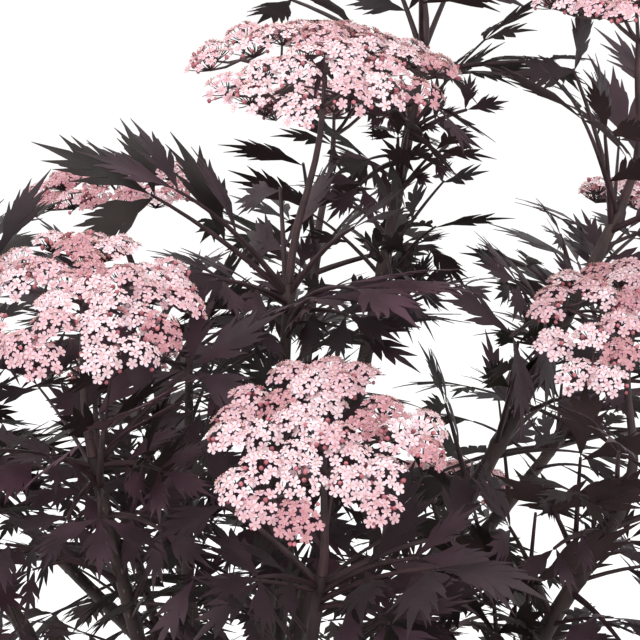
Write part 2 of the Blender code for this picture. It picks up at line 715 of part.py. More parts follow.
def wall_radius(height, inset=0.0):
    """Radius of the pot's outer wall at a height, less an inset."""
    return POT_FOOT_RADIUS + (POT_MOUTH_RADIUS - POT_FOOT_RADIUS) * height / POT_HEIGHT - inset


def make_pot():
    rim_foot = POT_HEIGHT - POT_RIM_DEPTH
    edge = 0.0025
    outside = [(0, 0), (POT_FOOT_RADIUS - edge, 0), (wall_radius(edge), edge),
               (wall_radius(rim_foot), rim_foot), (POT_RIM_RADIUS, rim_foot + edge),
               (POT_RIM_RADIUS, POT_HEIGHT - edge), (POT_RIM_RADIUS - edge, POT_HEIGHT)]
    inside = [(wall_radius(POT_HEIGHT, POT_WALL), POT_HEIGHT), (wall_radius(POT_WALL, POT_WALL), POT_WALL),
              (0, POT_WALL)]
    return turned("pot", outside + inside, POT_SIDES)


def make_compost():
    """The filling: the pot's inside, a gap smaller all round, and a little higher round the trunk."""
    low, edge = POT_WALL + GAP, COMPOST_TOP - COMPOST_CROWN
    inset = POT_WALL + GAP * 1.3
    profile = [(0, low), (wall_radius(low, inset), low), (wall_radius(edge, inset), edge),
               (TRUNK_RADII[0] + 0.012, COMPOST_TOP), (0, COMPOST_TOP)]
    return turned("compost", profile, POT_SIDES)


def make_bough(cane, cutters):
    """A bare limb from its foot to where its foliage starts, cut clear of the limbs that it grows from."""
    radii = [cane.radius(cane.leafy * k / (BOUGH_RINGS - 1)) for k in range(BOUGH_RINGS)]
    bough = rod("bough_" + cane.name, cane.curve, radii, BOUGH_SIDES, 0.0, cane.leafy)
    for cutter in cutters:
        cut = bough.modifiers.new("clear of " + cutter.name, "BOOLEAN")
        cut.operation = "DIFFERENCE"
        cut.object = cutter
    apply_modifiers(bough)
    keep_largest(bough)
    cutters.append(swollen("cutter_" + cane.name, cane.curve, radii, BOUGH_SIDES, cane.leafy))
    return bough


def swollen(name, line, radii, sides, end=1.0):
    """A limb's shape with the clearance added, to cut the limbs that meet it."""
    cutter = rod(name, line, [r + GAP * 1.3 for r in radii], sides, 0.0, end)
    cutter.hide_render = True
    cutter.display_type = "WIRE"
    return cutter


def make_shoot(cane):
    """The stem of a mass of foliage, from the bough's end to the top node."""
    start = cane.leafy + GAP / (cane.curve[3] - cane.curve[0]).length
    radii = [cane.radius(start), cane.radius((1 + start) / 2), cane.tip_radius]
    return rod("foliage_" + cane.name, cane.curve, radii, SHOOT_SIDES, start, 1.0)


def make_head(cane):
    """One flower head in one solid: rays and their clusters drawn out of the top of the stalk."""
    draw = random.Random(f"{SEED} head {cane.name}")
    fork, axis, across, along = head_axes(cane)
    radius = cane.head[2]
    line = flower_stalk(cane)
    bm = bmesh.new()
    top = straight_tube(bm, 4, STALK_SIDES)
    roots = [f for f in bm.faces if abs(f.normal.z) < 0.5 and f.calc_center_median().z > 2]
    places = [bezier(line, t) for t in (0, 0.5, 1)] + [fork + axis * 0.005]
    ways = [tangent(line, 0), tangent(line, 0.5), axis, axis]
    bend(bm.verts, places, ways, (cane.tip_radius * 0.9, 0.0020, 0.0018, 0.0032), across)
    bm.normal_update()

    def on_dome(share, angle, drop=0.0):
        height = radius * (HEAD_RISE - HEAD_DOME * share * share) - drop
        return fork + axis * height + (across * math.cos(angle) + along * math.sin(angle)) * (radius * share)

    for root in roots:
        out = root.calc_center_median() - fork
        angle = math.atan2(out.dot(along), out.dot(across))
        size = draw.uniform(0.92, 1.02)
        ray_out(bm, root, size, angle, on_dome, axis)
    centre = [on_dome(0.24, math.tau * k / STALK_SIDES, CLUSTER_DEPTH) for k in range(STALK_SIDES)]
    middle = on_dome(0, 0, CLUSTER_DEPTH)
    foot = [fork + axis * (radius * HEAD_RISE * 0.72) + (p - middle) * 0.1 for p in centre]
    close_to(bm, draw_out(bm, draw_out(bm, top, foot), centre), on_dome(0, 0, -CLUSTER_DEPTH))
    return object_of("head_" + cane.name, bm)


def ray_out(bm, root, size, angle, on_dome, axis):
    """A ray from a side of the stalk's top, out and up, widened at its end to a cluster of flowers."""
    start = root.calc_center_median()
    end = on_dome(0.62 * size, angle, CLUSTER_DEPTH * 3)
    way = (end - start).normalized()
    wide = axis.cross(way).normalized()
    tall = way.cross(wide)
    corners = [(1, -1), (1, 1), (-1, 1), (-1, -1)]
    face = draw_out(bm, root, [end + (wide * a + tall * b) * 0.0009 for a, b in corners])
    bmesh.ops.subdivide_edges(bm, edges=face.edges[:], cuts=1)
    outline = [on_dome(share * size, angle + math.radians(turn), CLUSTER_DEPTH)
               for share, turn in CLUSTER_OUTLINE]
    close_to(bm, draw_out(bm, face, outline), on_dome(0.66 * size, angle, -CLUSTER_DEPTH))


def clear_scene():
    for obj in list(bpy.data.objects):
        bpy.data.objects.remove(obj)


def main():
    clear_scene()
    bark = material("bark", (0.060, 0.038, 0.036), 0.75)
    leaf = material("leaf", (0.045, 0.031, 0.039), 0.50)
    blossom = material("blossom", (0.78, 0.50, 0.53), 0.70)
    plastic = material("pot_plastic", (0.028, 0.029, 0.030), 0.55)
    soil = material("compost", (0.055, 0.038, 0.027), 0.95)

    curves = lay_out_canes()
    pot = make_pot()
    pot.data.materials.append(plastic)
    make_compost().data.materials.append(soil)
    limbs = [rod("trunk", curves["trunk"], TRUNK_RADII, TRUNK_SIDES)]
    cutters = [swollen("cutter_trunk", curves["trunk"], TRUNK_RADII, TRUNK_SIDES)]
    limbs += [make_bough(cane, cutters) for cane in CANES]
    heads = [make_head(cane) for cane in CANES if cane.head]
    shoots = {cane.name: make_shoot(cane) for cane in CANES}
    crown = Crown([pot, *limbs, *heads], shoots)
    for name, leaves in grow_leaves(crown).items():
        fuse(shoots[name], [leaf_solid(one) for one in leaves])
        print(f"{name}: {len(leaves)} leaves, {sum(len(one.leaflets) for one in leaves)} leaflets")
    for group, look in ((limbs, bark), (heads, blossom), (shoots.values(), leaf)):
        for obj in group:
            obj.data.materials.append(look)


main()
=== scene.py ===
import json
import math
import random

import bmesh
import bpy
import numpy as np
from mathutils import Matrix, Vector, noise
from mathutils.bvhtree import BVHTree

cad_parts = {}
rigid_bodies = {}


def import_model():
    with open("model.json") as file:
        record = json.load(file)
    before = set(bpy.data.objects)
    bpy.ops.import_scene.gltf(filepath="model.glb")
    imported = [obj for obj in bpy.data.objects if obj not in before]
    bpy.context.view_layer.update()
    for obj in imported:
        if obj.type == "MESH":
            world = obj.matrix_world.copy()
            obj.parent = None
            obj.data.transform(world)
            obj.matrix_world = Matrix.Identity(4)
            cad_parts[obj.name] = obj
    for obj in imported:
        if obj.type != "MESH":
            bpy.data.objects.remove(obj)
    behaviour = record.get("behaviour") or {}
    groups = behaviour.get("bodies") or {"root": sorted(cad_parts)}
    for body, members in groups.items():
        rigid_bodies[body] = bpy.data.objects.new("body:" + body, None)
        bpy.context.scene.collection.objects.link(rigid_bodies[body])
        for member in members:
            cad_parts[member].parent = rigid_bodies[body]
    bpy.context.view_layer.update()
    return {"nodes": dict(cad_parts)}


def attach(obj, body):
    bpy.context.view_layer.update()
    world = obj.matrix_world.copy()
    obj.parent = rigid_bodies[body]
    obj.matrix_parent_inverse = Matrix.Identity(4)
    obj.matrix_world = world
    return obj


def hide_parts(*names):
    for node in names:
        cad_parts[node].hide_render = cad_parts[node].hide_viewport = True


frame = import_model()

# potted black elder: stems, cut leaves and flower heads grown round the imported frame, all in metres
nodes = frame["nodes"]
up = Vector((0, 0, 1))
goldenAngle = 2.4  # radians from one shoot or flower to the next
print(f"frame: {len(nodes)} nodes")


# shared helpers

def shown(name, mesh, looks, sharpFrom=35):
    # the finished object, at the origin with its place in its mesh
    for look in looks:
        mesh.materials.append(look)
    mesh.shade_smooth()
    mesh.set_sharp_from_angle(angle=math.radians(sharpFrom))
    obj = bpy.data.objects.new(name, mesh)
    bpy.context.scene.collection.objects.link(obj)
    return obj


def meshOf(name, bm):
    mesh = bpy.data.meshes.new(name)
    bm.to_mesh(mesh)
    bm.free()
    return mesh


def meshFromArrays(name, corners, faces, looks=None):
    # many small closed shapes joined in one mesh of triangles
    mesh = bpy.data.meshes.new(name)
    mesh.vertices.add(len(corners))
    mesh.vertices.foreach_set("co", np.ascontiguousarray(corners, np.float32).ravel())
    mesh.loops.add(faces.size)
    mesh.loops.foreach_set("vertex_index", np.ascontiguousarray(faces, np.int32).ravel())
    mesh.polygons.add(len(faces))
    mesh.polygons.foreach_set("loop_start", np.arange(0, faces.size, 3, dtype=np.int32))
    if looks is not None:
        mesh.polygons.foreach_set("material_index", np.ascontiguousarray(looks, np.int32))
    mesh.update(calc_edges=True)
    mesh.validate()
    return mesh


def rowsOf(points):
    return np.array([list(point) for point in points])


def arraysOf(bm):
    # a finished template as corners, triangles and their looks
    bmesh.ops.triangulate(bm, faces=bm.faces[:])
    bm.verts.index_update()
    corners = rowsOf(corner.co for corner in bm.verts)
    faces = np.array([[corner.index for corner in face.verts] for face in bm.faces])
    looks = np.array([face.material_index for face in bm.faces])
    bm.free()
    return corners, faces, looks


def stacked(parts):
    # pairs of corners and faces as one pair
    steps = np.cumsum([0] + [len(corners) for corners, _ in parts[:-1]])
    return (np.vstack([corners for corners, _ in parts]),
            np.vstack([faces + step for (_, faces), step in zip(parts, steps)]))


def around(first, second, angle):
    # the way at an angle from one direction towards another square to it
    return first * math.cos(angle) + second * math.sin(angle)


def shaken(draw, play):
    return Vector([draw.uniform(-play, play) for _ in range(3)])


def cadNamed(start):
    return [name for name in nodes if name.startswith(start)]


def rideAs(piece, slotName, *replaced):
    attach(piece, "root")
    if replaced:
        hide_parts(*replaced)
    print(f"  {piece.name}: {sum(len(face.vertices) - 2 for face in piece.data.polygons)} triangles")


def rideJoined(name, arrays, looks, sharpFrom, slotName, *replaced):
    # a piece of many small closed shapes
    rideAs(shown(name, meshFromArrays(name, *arrays), looks, sharpFrom), slotName, *replaced)


# finishes

def grownSurface():
    # tone, roughness and height that wander over anything grown, shared by its materials
    group = bpy.data.node_groups.new("grownSurface", "ShaderNodeTree")
    for name, kind in (("Light", "Color"), ("Dark", "Color"), ("Patch Scale", "Float"),
                       ("Grain Scale", "Float"), ("Stretch", "Vector"), ("Rough Low", "Float"),
                       ("Rough High", "Float")):
        group.interface.new_socket(name, in_out="INPUT", socket_type="NodeSocket" + kind)
    for name, kind in (("Colour", "Color"), ("Roughness", "Float"), ("Height", "Float")):
        group.interface.new_socket(name, in_out="OUTPUT", socket_type="NodeSocket" + kind)
    new, link = group.nodes.new, group.links.new
    given, result, place = new("NodeGroupInput"), new("NodeGroupOutput"), new("ShaderNodeTexCoord")
    stretch = new("ShaderNodeVectorMath")
    stretch.operation = "MULTIPLY"
    link(place.outputs["Object"], stretch.inputs[0])
    link(given.outputs["Stretch"], stretch.inputs[1])
    patch, grain = new("ShaderNodeTexNoise"), new("ShaderNodeTexNoise")
    for texture, scale, detail in ((patch, "Patch Scale", 3), (grain, "Grain Scale", 4)):
        link(stretch.outputs[0], texture.inputs["Vector"])
        link(given.outputs[scale], texture.inputs["Scale"])
        texture.inputs["Detail"].default_value = detail
    share = new("ShaderNodeMapRange")
    share.inputs["From Min"].default_value = 0.36
    share.inputs["From Max"].default_value = 0.64
    link(patch.outputs["Fac"], share.inputs["Value"])
    tone = new("ShaderNodeMix")
    tone.data_type = "RGBA"
    link(share.outputs["Result"], tone.inputs[0])
    link(given.outputs["Dark"], tone.inputs[6])
    link(given.outputs["Light"], tone.inputs[7])
    link(tone.outputs[2], result.inputs["Colour"])
    rough = new("ShaderNodeMapRange")
    link(grain.outputs["Fac"], rough.inputs["Value"])
    link(given.outputs["Rough Low"], rough.inputs["To Min"])
    link(given.outputs["Rough High"], rough.inputs["To Max"])
    link(rough.outputs["Result"], result.inputs["Roughness"])
    link(grain.outputs["Fac"], result.inputs["Height"])
    return group


grown = grownSurface()


def grownLook(name, light, dark, patch=60, grain=400, stretch=(1, 1, 1), rough=(0.4, 0.6), bump=0.2,
              relief=0.0004, **fixed):
    # a Principled material on the shared surface; what is the same all over is set on its own socket
    made = bpy.data.materials.new(name)
    made.use_nodes = True
    tree = made.node_tree
    shader = tree.nodes["Principled BSDF"]
    surface = tree.nodes.new("ShaderNodeGroup")
    surface.node_tree = grown
    values = {"Light": (*light, 1), "Dark": (*dark, 1), "Patch Scale": patch, "Grain Scale": grain,
              "Stretch": stretch, "Rough Low": rough[0], "Rough High": rough[1]}
    for key, value in values.items():
        surface.inputs[key].default_value = value
    lift = tree.nodes.new("ShaderNodeBump")
    lift.inputs["Strength"].default_value = bump
    lift.inputs["Distance"].default_value = relief
    tree.links.new(surface.outputs["Colour"], shader.inputs["Base Color"])
    tree.links.new(surface.outputs["Roughness"], shader.inputs["Roughness"])
    tree.links.new(surface.outputs["Height"], lift.inputs["Height"])
    tree.links.new(lift.outputs["Normal"], shader.inputs["Normal"])
    for key, value in fixed.items():
        shader.inputs[key.replace("_", " ")].default_value = value
    return made


# view, light and floor

shot = {
    "target": (0.047, 0.0, 0.65),  # middle of the picture, in the upper crown
    "distance": 1.4,
    "above": 12,  # degrees over level
    "focalPixels": 2660,
    "imagePixels": 640,
    "sensor": 36.0,
    "floorRadius": 16.0,
    "skyStrength": 1.12,
}

lamps = {
    # name: (place, size, watts)
    "keySoft": ((-1.3, -1.9, 2.4), 1.6, 46),
    "fillSoft": ((1.9, -1.2, 1.2), 1.8, 14),
    "topSoft": ((0.1, 0.5, 2.6), 1.4, 16),
}


def setUpView():
    scene = bpy.context.scene
    scene.view_settings.view_transform = "Standard"
    target = Vector(shot["target"])
    tilt = math.radians(shot["above"])
    data = bpy.data.cameras.new("viewCamera")
    data.sensor_width = shot["sensor"]
    data.lens = shot["sensor"] * shot["focalPixels"] / shot["imagePixels"]
    data.clip_end = 60
    camera = bpy.data.objects.new("viewCamera", data)
    camera.location = target + Vector((0, -math.cos(tilt), math.sin(tilt))) * shot["distance"]
    camera.rotation_euler = (target - camera.location).to_track_quat("-Z", "Y").to_euler()
    scene.collection.objects.link(camera)
    scene.camera = camera

    sky = bpy.data.worlds.new("paleSky")
    sky.use_nodes = True
    glow = sky.node_tree.nodes["Background"]
    glow.inputs["Color"].default_value = (1.0, 0.995, 0.99, 1)
    glow.inputs["Strength"].default_value = shot["skyStrength"]
    scene.world = sky
    for name, (place, size, watts) in lamps.items():
        light = bpy.data.lights.new(name, "AREA")
        light.size = size
        light.energy = watts
        lamp = bpy.data.objects.new(name, light)
        lamp.location = place
        lamp.rotation_euler = (target - Vector(place)).to_track_quat("-Z", "Y").to_euler()
        scene.collection.objects.link(lamp)

    bm = bmesh.new()
    bmesh.ops.create_circle(bm, cap_ends=True, segments=96, radius=shot["floorRadius"])
    look = grownLook("paleFloorLook", (0.92, 0.92, 0.92), (0.90, 0.90, 0.90), 2, 60, rough=(0.7, 0.8),
                     bump=0.05)
    shown("paleFloor", meshOf("paleFloor", bm), [look])


setUpView()
print("view, light and floor")


# stems: the lines that the whole shrub grows along

shrub = {
    "seed": 41,
    "gap": 0.0003,  # between pieces that meet
    "soilTop": 0.216,
    "trunkTop": (0.004, 0.001, 0.300),
    "trunkUpright": 0.045,  # straight up from the compost before it leans
    "trunkRadii": (0.024, 0.0195, 0.0165, 0.0160, 0.0150),  # the root flare first
}


def cane(name, parent, share, tip, foot, end, leafy, turn, leaf=0.172, count=3, rise=0.2, lift=0.2,
         spacing=0.058, head=None):
    # one stem from its foot at a share of its parent's line to its top node, leafy from a share of its own
    return {"name": name, "parent": parent, "share": share, "tip": Vector(tip), "footRadius": foot,
            "tipRadius": end, "leafy": leafy, "turn": math.radians(turn), "leaf": leaf, "nodes": count,
            "rise": rise, "lift": lift, "spacing": spacing, "head": head}


# a head is its fork, how its axis leans in x and y, and its radius
canes = [
    cane("centre", "trunk", 1.00, (0.031, -0.010, 0.672), 0.0078, 0.0026, 0.48, 20, spacing=0.046,
         head=((0.0485, -0.020, 0.765), (0.05, -0.22), 0.069)),
    cane("tall", "centre", 0.26, (0.103, 0.060, 0.790), 0.0056, 0.0026, 0.60, 75, rise=-0.3, lift=0.4,
         head=((0.101, 0.062, 0.832), (0.05, -0.10), 0.055)),
    cane("right_tall", "trunk", 0.86, (0.207, 0.020, 0.709), 0.0066, 0.0030, 0.52, 60, rise=0.35,
         lift=0.1, spacing=0.046, head=((0.211, 0.000, 0.796), (0.05, 0.00), 0.056)),
    cane("right", "trunk", 0.50, (0.201, -0.060, 0.567), 0.0068, 0.0040, 0.56, 100, rise=-0.2,
         lift=0.3, spacing=0.040, head=((0.204, -0.056, 0.643), (0.15, -0.45), 0.059)),
    cane("front", "trunk", 0.72, (0.048, -0.130, 0.551), 0.0060, 0.0028, 0.46, 35, rise=-0.1, lift=0.3,
         head=((0.049, -0.150, 0.607), (0.05, -0.60), 0.061)),
    cane("left", "trunk", 0.66, (-0.066, -0.090, 0.600), 0.0062, 0.0030, 0.50, 10, rise=-0.1, lift=0.2,
         head=((-0.069, -0.099, 0.666), (0.05, -0.45), 0.060)),
    cane("left_inner", "left", 0.36, (-0.024, 0.040, 0.628), 0.0040, 0.0020, 0.36, 50),
    cane("far_left", "left", 0.20, (-0.185, -0.030, 0.651), 0.0052, 0.0028, 0.48, 20, rise=-0.2, lift=0.5,
         head=((-0.205, -0.036, 0.705), (-0.25, -0.20), 0.058)),
    cane("back_left", "trunk", 0.90, (-0.050, 0.120, 0.619), 0.0062, 0.0028, 0.48, 85, rise=0.0,
         spacing=0.040, head=((-0.067, 0.122, 0.685), (-0.10, -0.05), 0.055)),
    cane("back_centre", "trunk", 0.80, (0.045, 0.165, 0.660), 0.0064, 0.0028, 0.50, 65, rise=-0.1,
         spacing=0.046, head=((0.055, 0.180, 0.722), (0.02, 0.25), 0.055)),
    cane("back_right", "back_centre", 0.30, (0.225, 0.165, 0.600), 0.0050, 0.0028, 0.46, 15, rise=-0.2,
         lift=0.4, head=((0.250, 0.175, 0.660), (0.35, 0.15), 0.056)),
    cane("far_right", "right", 0.42, (0.280, -0.015, 0.490), 0.0042, 0.0026, 0.38, 55, rise=-0.1,
         lift=0.4, head=((0.308, -0.024, 0.560), (0.40, -0.15), 0.056)),
    cane("low_right", "right", 0.26, (0.185, -0.165, 0.420), 0.0044, 0.0026, 0.36, 25, rise=-0.3,
         lift=0.5, head=((0.210, -0.190, 0.480), (0.35, -0.40), 0.054)),
    cane("back_far_left", "back_left", 0.36, (-0.190, 0.135, 0.585), 0.0042, 0.0026, 0.40, 70, lift=0.4,
         head=((-0.220, 0.148, 0.655), (-0.35, 0.15), 0.055)),
    cane("back_low", "back_left", 0.24, (-0.075, 0.205, 0.500), 0.0040, 0.0024, 0.38, 5, rise=-0.2,
         lift=0.4, head=((-0.090, 0.226, 0.560), (-0.10, 0.40), 0.052)),
    cane("low_left", "far_left", 0.32, (-0.195, -0.150, 0.440), 0.0038, 0.0024, 0.34, 45, rise=-0.3,
         lift=0.5, head=((-0.220, -0.175, 0.500), (-0.40, -0.35), 0.054)),
    cane("back_mid", "back_centre", 0.18, (0.110, 0.225, 0.420), 0.0042, 0.0024, 0.36, 80, rise=-0.3,
         lift=0.5, head=((0.122, 0.250, 0.475), (0.10, 0.45), 0.052)),
    cane("front_low_left", "front", 0.32, (-0.045, -0.170, 0.430), 0.0034, 0.0020, 0.34, 30, rise=-0.3,
         lift=0.5),
    cane("front_low_right", "front", 0.24, (0.105, -0.180, 0.415), 0.0036, 0.0020, 0.36, 75, rise=-0.3,
         lift=0.5),
]

# leaves placed one by one at the front: share along the cane, the leaf's tip, and how it arches
chosenLeaves = {
    "centre": ((0.995, (-0.072, -0.060, 0.774), 0.32), (0.985, (-0.060, -0.050, 0.730), 0.32),
               (0.97, (-0.032, -0.090, 0.709), 0.15), (0.96, (-0.006, -0.100, 0.662), 0.3),
               (0.985, (0.088, -0.070, 0.723), 0.3), (0.95, (0.094, -0.090, 0.670), 0.25),
               (0.93, (0.062, -0.120, 0.663), 0.3)),
    "tall": ((0.87, (0.179, 0.062, 0.749), 0.2), (0.84, (0.048, 0.010, 0.692), 0.3),
             (0.8, (0.088, 0.020, 0.761), 0.12), (0.995, (0.120, 0.045, 0.862), 0.15),
             (0.985, (0.072, 0.090, 0.852), 0.2), (0.82, (0.156, 0.060, 0.710), 0.32)),
    "right_tall": ((0.99, (0.133, 0.000, 0.821), 0.3), (0.97, (0.188, -0.030, 0.783), 0.1),
                   (0.84, (0.115, -0.040, 0.718), 0.15), (0.98, (0.244, 0.010, 0.786), 0.3)),
    "right": ((0.99, (0.161, -0.110, 0.666), 0.2), (0.97, (0.124, -0.115, 0.595), 0.3),
              (0.95, (0.138, -0.120, 0.532), 0.3), (0.98, (0.232, -0.110, 0.634), 0.3)),
    "front": ((0.97, (-0.006, -0.190, 0.555), 0.25), (0.96, (0.130, -0.195, 0.569), 0.25),
              (0.93, (0.101, -0.235, 0.549), 0.32), (0.91, (0.033, -0.225, 0.545), 0.32)),
    "left": ((0.98, (-0.004, -0.130, 0.583), 0.3), (0.96, (-0.087, -0.140, 0.545), 0.32),
             (0.94, (-0.056, -0.180, 0.554), 0.32), (0.95, (-0.101, -0.140, 0.606), 0.3),
             (0.9, (0.014, -0.150, 0.575), 0.25)),
    "far_left": ((0.995, (-0.068, -0.090, 0.757), 0.16), (0.99, (-0.054, -0.110, 0.728), 0.2),
                 (0.97, (-0.166, -0.110, 0.683), 0.3)),
    "left_inner": ((0.99, (0.001, -0.020, 0.665), 0.2), (0.98, (-0.044, 0.020, 0.640), 0.3),
                   (0.99, (0.010, 0.000, 0.609), 0.25)),
}


def bezier(points, t):
    while len(points) > 1:
        points = [a.lerp(b, t) for a, b in zip(points, points[1:])]
    return points[0]


def heading(points, t, step=0.002):
    return (bezier(points, min(t + step, 1)) - bezier(points, max(t - step, 0))).normalized()


def lineLength(points, steps=20):
    return sum((bezier(points, (k + 1) / steps) - bezier(points, k / steps)).length for k in range(steps))


def wayAt(spin, height):
    level = math.cos(height)
    return Vector((math.cos(spin) * level, math.sin(spin) * level, math.sin(height)))


def layOutCanes():
    # every foot on the middle line of its parent, every line a little off the straight way to its tip
    soil = Vector((0, 0, shrub["soilTop"] + shrub["gap"]))
    lines = {"trunk": [soil, soil + up * shrub["trunkUpright"], Vector(shrub["trunkTop"])]}
    for stem in canes:
        foot = bezier(lines[stem["parent"]], stem["share"])
        if stem["share"] == 1:
            foot = foot + up * shrub["gap"]
        chord = stem["tip"] - foot
        leave = (chord.normalized() + up * stem["rise"]).normalized()
        arrive = (chord.normalized() + up * stem["lift"]).normalized()
        third = chord.length / 3
        stem["line"] = [foot, foot + leave * third, stem["tip"] - arrive * third, stem["tip"]]
        lines[stem["name"]] = stem["line"]
    return lines


def headAxes(stem):
    fork, lean, _ = stem["head"]
    axis = Vector((*lean, 1)).normalized()
    across = axis.cross(Vector((0, 1, 0))).normalized()
    return Vector(fork), axis, across, axis.cross(across)


def flowerStalk(stem):
    # from the cane's top node to the head's fork
    fork, axis, _, _ = headAxes(stem)
    ahead = heading(stem["line"], 1)
    start = stem["tip"] + ahead * shrub["gap"]
    reach = (fork - start).length * 0.4
    return [start, start + ahead * reach, fork - axis * reach, fork]


stemLines = layOutCanes()


# bark: trunk and canes as tubes with ribs and node rings

bark = {
    "trunkSides": 40,
    "trunkRing": 0.0022,  # between rings of corners
    "caneSides": 14,
    "caneRing": 0.0034,
    "collar": 0.35,  # how much wider a cane is at its foot
    "collarReach": 0.010,
    "nodeSwell": 0.20,
    "nodeReach": 0.0035,
    "topNode": 0.007,
    "ribs": 7,
    "ribHeight": 0.025,
    "grain": 0.06,
    "bulge": 0.05,  # shares of the trunk's radius
    "ridge": 0.10,
    "rootSwell": 0.16,
    "roots": 5,
    "poresPerMetre": 260,
    "pore": (0.00165, 0.0007, 0.0004),  # half length, half width, height
}


def tubeAlong(bm, line, sides, spacing, radiusAt):
    # a grid rolled round a line and closed, its radius given by share and angle
    rings = max(8, round(lineLength(line) / spacing))
    made = bmesh.ops.create_grid(bm, x_segments=sides, y_segments=rings, size=1)["verts"]
    side, frames = heading(line, 0).orthogonal(), []
    for k in range(rings + 1):
        t = k / rings
        way = heading(line, t)
        side = (side - way * side.dot(way)).normalized()
        frames.append((t, bezier(line, t), side, way.cross(side)))
    for corner in made:
        t, place, side, above = frames[round((corner.co.y + 1) / 2 * rings)]
        angle = (corner.co.x + 1) * math.pi
        corner.co = place + around(side, above, angle) * radiusAt(t, angle, place)
    bmesh.ops.remove_doubles(bm, verts=made, dist=1e-7)
    made = [corner for corner in made if corner.is_valid]
    rims = [edge for edge in {e for corner in made for e in corner.link_edges} if edge.is_boundary]
    bmesh.ops.holes_fill(bm, edges=rims, sides=0)


def trunkRadius(t, angle, place):
    radii = shrub["trunkRadii"]
    step = min(t, 0.9999) * (len(radii) - 1)
    low = int(step)
    radius = radii[low] + (radii[low + 1] - radii[low]) * (step - low)
    x, y = math.cos(angle), math.sin(angle)
    bulge = bark["bulge"] * noise.noise(Vector((x * 2.1, y * 2.1, place.z * 22)))
    ridges = bark["ridge"] * abs(noise.noise(Vector((x * 6, y * 6, place.z * 34))))
    flare = max(0, 1 - t * 3.2) ** 2 * bark["rootSwell"] * math.cos(bark["roots"] * angle + 0.6)
    return radius * (0.97 + bulge + ridges + flare)


def caneRadius(stem):
    length = lineLength(stem["line"])
    count, top = int(length / stem["spacing"]) + 1, bark["topNode"]
    marks = [1 - (top + stem["spacing"] * k) / length for k in range(count)]
    shift = sum(map(ord, stem["name"]))

    def radiusAt(t, angle, place):
        along = t * length
        radius = stem["footRadius"] + (stem["tipRadius"] - stem["footRadius"]) * t
        collar = bark["collar"] * math.exp(-along / bark["collarReach"])
        swell = sum(math.exp(-((t - mark) * length / bark["nodeReach"]) ** 2) for mark in marks)
        twist = 2 * math.sin(along * 30 + shift)
        ribs = bark["ribHeight"] * math.cos(bark["ribs"] * angle + twist) * min(1, t * 3)
        spot = Vector((math.cos(angle) * 2 + shift, math.sin(angle) * 2, along * 110))
        grain = bark["grain"] * noise.noise(spot)
        return radius * (1 + collar + bark["nodeSwell"] * swell + ribs + grain)

    return radiusAt


def makeBark():
    bm = bmesh.new()
    tubeAlong(bm, stemLines["trunk"], bark["trunkSides"], bark["trunkRing"], trunkRadius)
    for stem in canes:
        tubeAlong(bm, stem["line"], bark["caneSides"], bark["caneRing"], caneRadius(stem))
    bmesh.ops.recalc_face_normals(bm, faces=bm.faces[:])
    look = grownLook("barkLook", (0.060, 0.040, 0.038), (0.020, 0.012, 0.013), 90, 700,
                     stretch=(1, 1, 0.22), rough=(0.5, 0.8), bump=0.5, relief=0.0006, Specular_IOR_Level=0.3)
    rideAs(shown("stems", meshOf("stems", bm), [look], 50), "bark", "trunk", *cadNamed("bough_"))


makeBark()
print("stems")


# the rule that leaves grow by, as in the solids

leafRule = {
    "rachisShare": 0.56,  # of the leaf's length
    "rachisRadius": 0.0013,
    "twigStart": 0.003,  # where it leaves the stem's skin
    "pairPlaces": (0.46, 0.97),
    "pairLengths": (0.46, 0.40),
    "pairSpreads": (50, 60),
    "pairPlay": 4,
    "width": 0.37,
    "widest": 0.42,
    "edge": 1.04,
    "thickness": 0.009,
    "tries": 12,
    "chosenTries": 20,
    "chosenPlay": 0.02,
    "fewest": 3,
    "overreach": 0.030,
    "clearance": 0.0016,
    "apart": 0.010,
    "massReach": 0.190,
    "topNode": 0.007,
    "lowest": 0.252,
    "headRise": 0.60,
    "headDome": 0.26,
    "crownAxis": (0.03, 0.04),  # leaves turn their faces away from it
    "facing": (0.35, 1.15),  # how far
    "frontFacing": (0.75, 1.20),  # and those placed one by one, towards the front
    "facingPlay": 0.22,
    "sizes": (0.92, 1.08),  # of the leaflets
    "reaches": (0.9, 1.06),  # of the leaves
    "spinPlay": 0.15,
    "heightPlay": 0.1,
    "arch": (0.10, 0.24),
    "sag": (0.06, 0.26),
    "heights": (34, 14, -4, -20),  # of the leaves at each node down from the top
}

# centre across and up from the target, and half width and height, of each gap that shows sky
skyGaps = (
    (-0.137, 0.146, 0.066, 0.040),
    (0.120, 0.084, 0.034, 0.026),
    (0.068, 0.061, 0.015, 0.013),
    (0.016, 0.031, 0.014, 0.010),
    (0.074, -0.017, 0.017, 0.009),
    (0.082, -0.048, 0.012, 0.009),
    (0.126, -0.073, 0.022, 0.011),
    (0.110, -0.112, 0.015, 0.011),
    (0.155, -0.140, 0.015, 0.020),
    (-0.137, -0.142, 0.012, 0.010),
    (-0.153, -0.047, 0.012, 0.010),
    (-0.078, 0.052, 0.010, 0.010),
)


def linePieces(points):
    line = rowsOf(points)
    return line[:-1], line[1:]


def distanceTo(points, starts, ends):
    along = ends - starts
    length = np.maximum((along**2).sum(1), 1e-12)
    offset = points[:, None, :] - starts[None]
    share = np.clip((offset * along[None]).sum(2) / length[None], 0, 1)
    return np.sqrt(((offset - share[..., None] * along[None]) ** 2).sum(2)).min(1)


def gather(mass, corners, faces):
    first = len(mass[0])
    mass[0].extend(tuple(corner) for corner in corners)
    mass[1].extend(tuple(first + index for index in face) for face in faces)


def treeOf(corners, faces):
    return BVHTree.FromPolygons([tuple(corner) for corner in corners], faces)


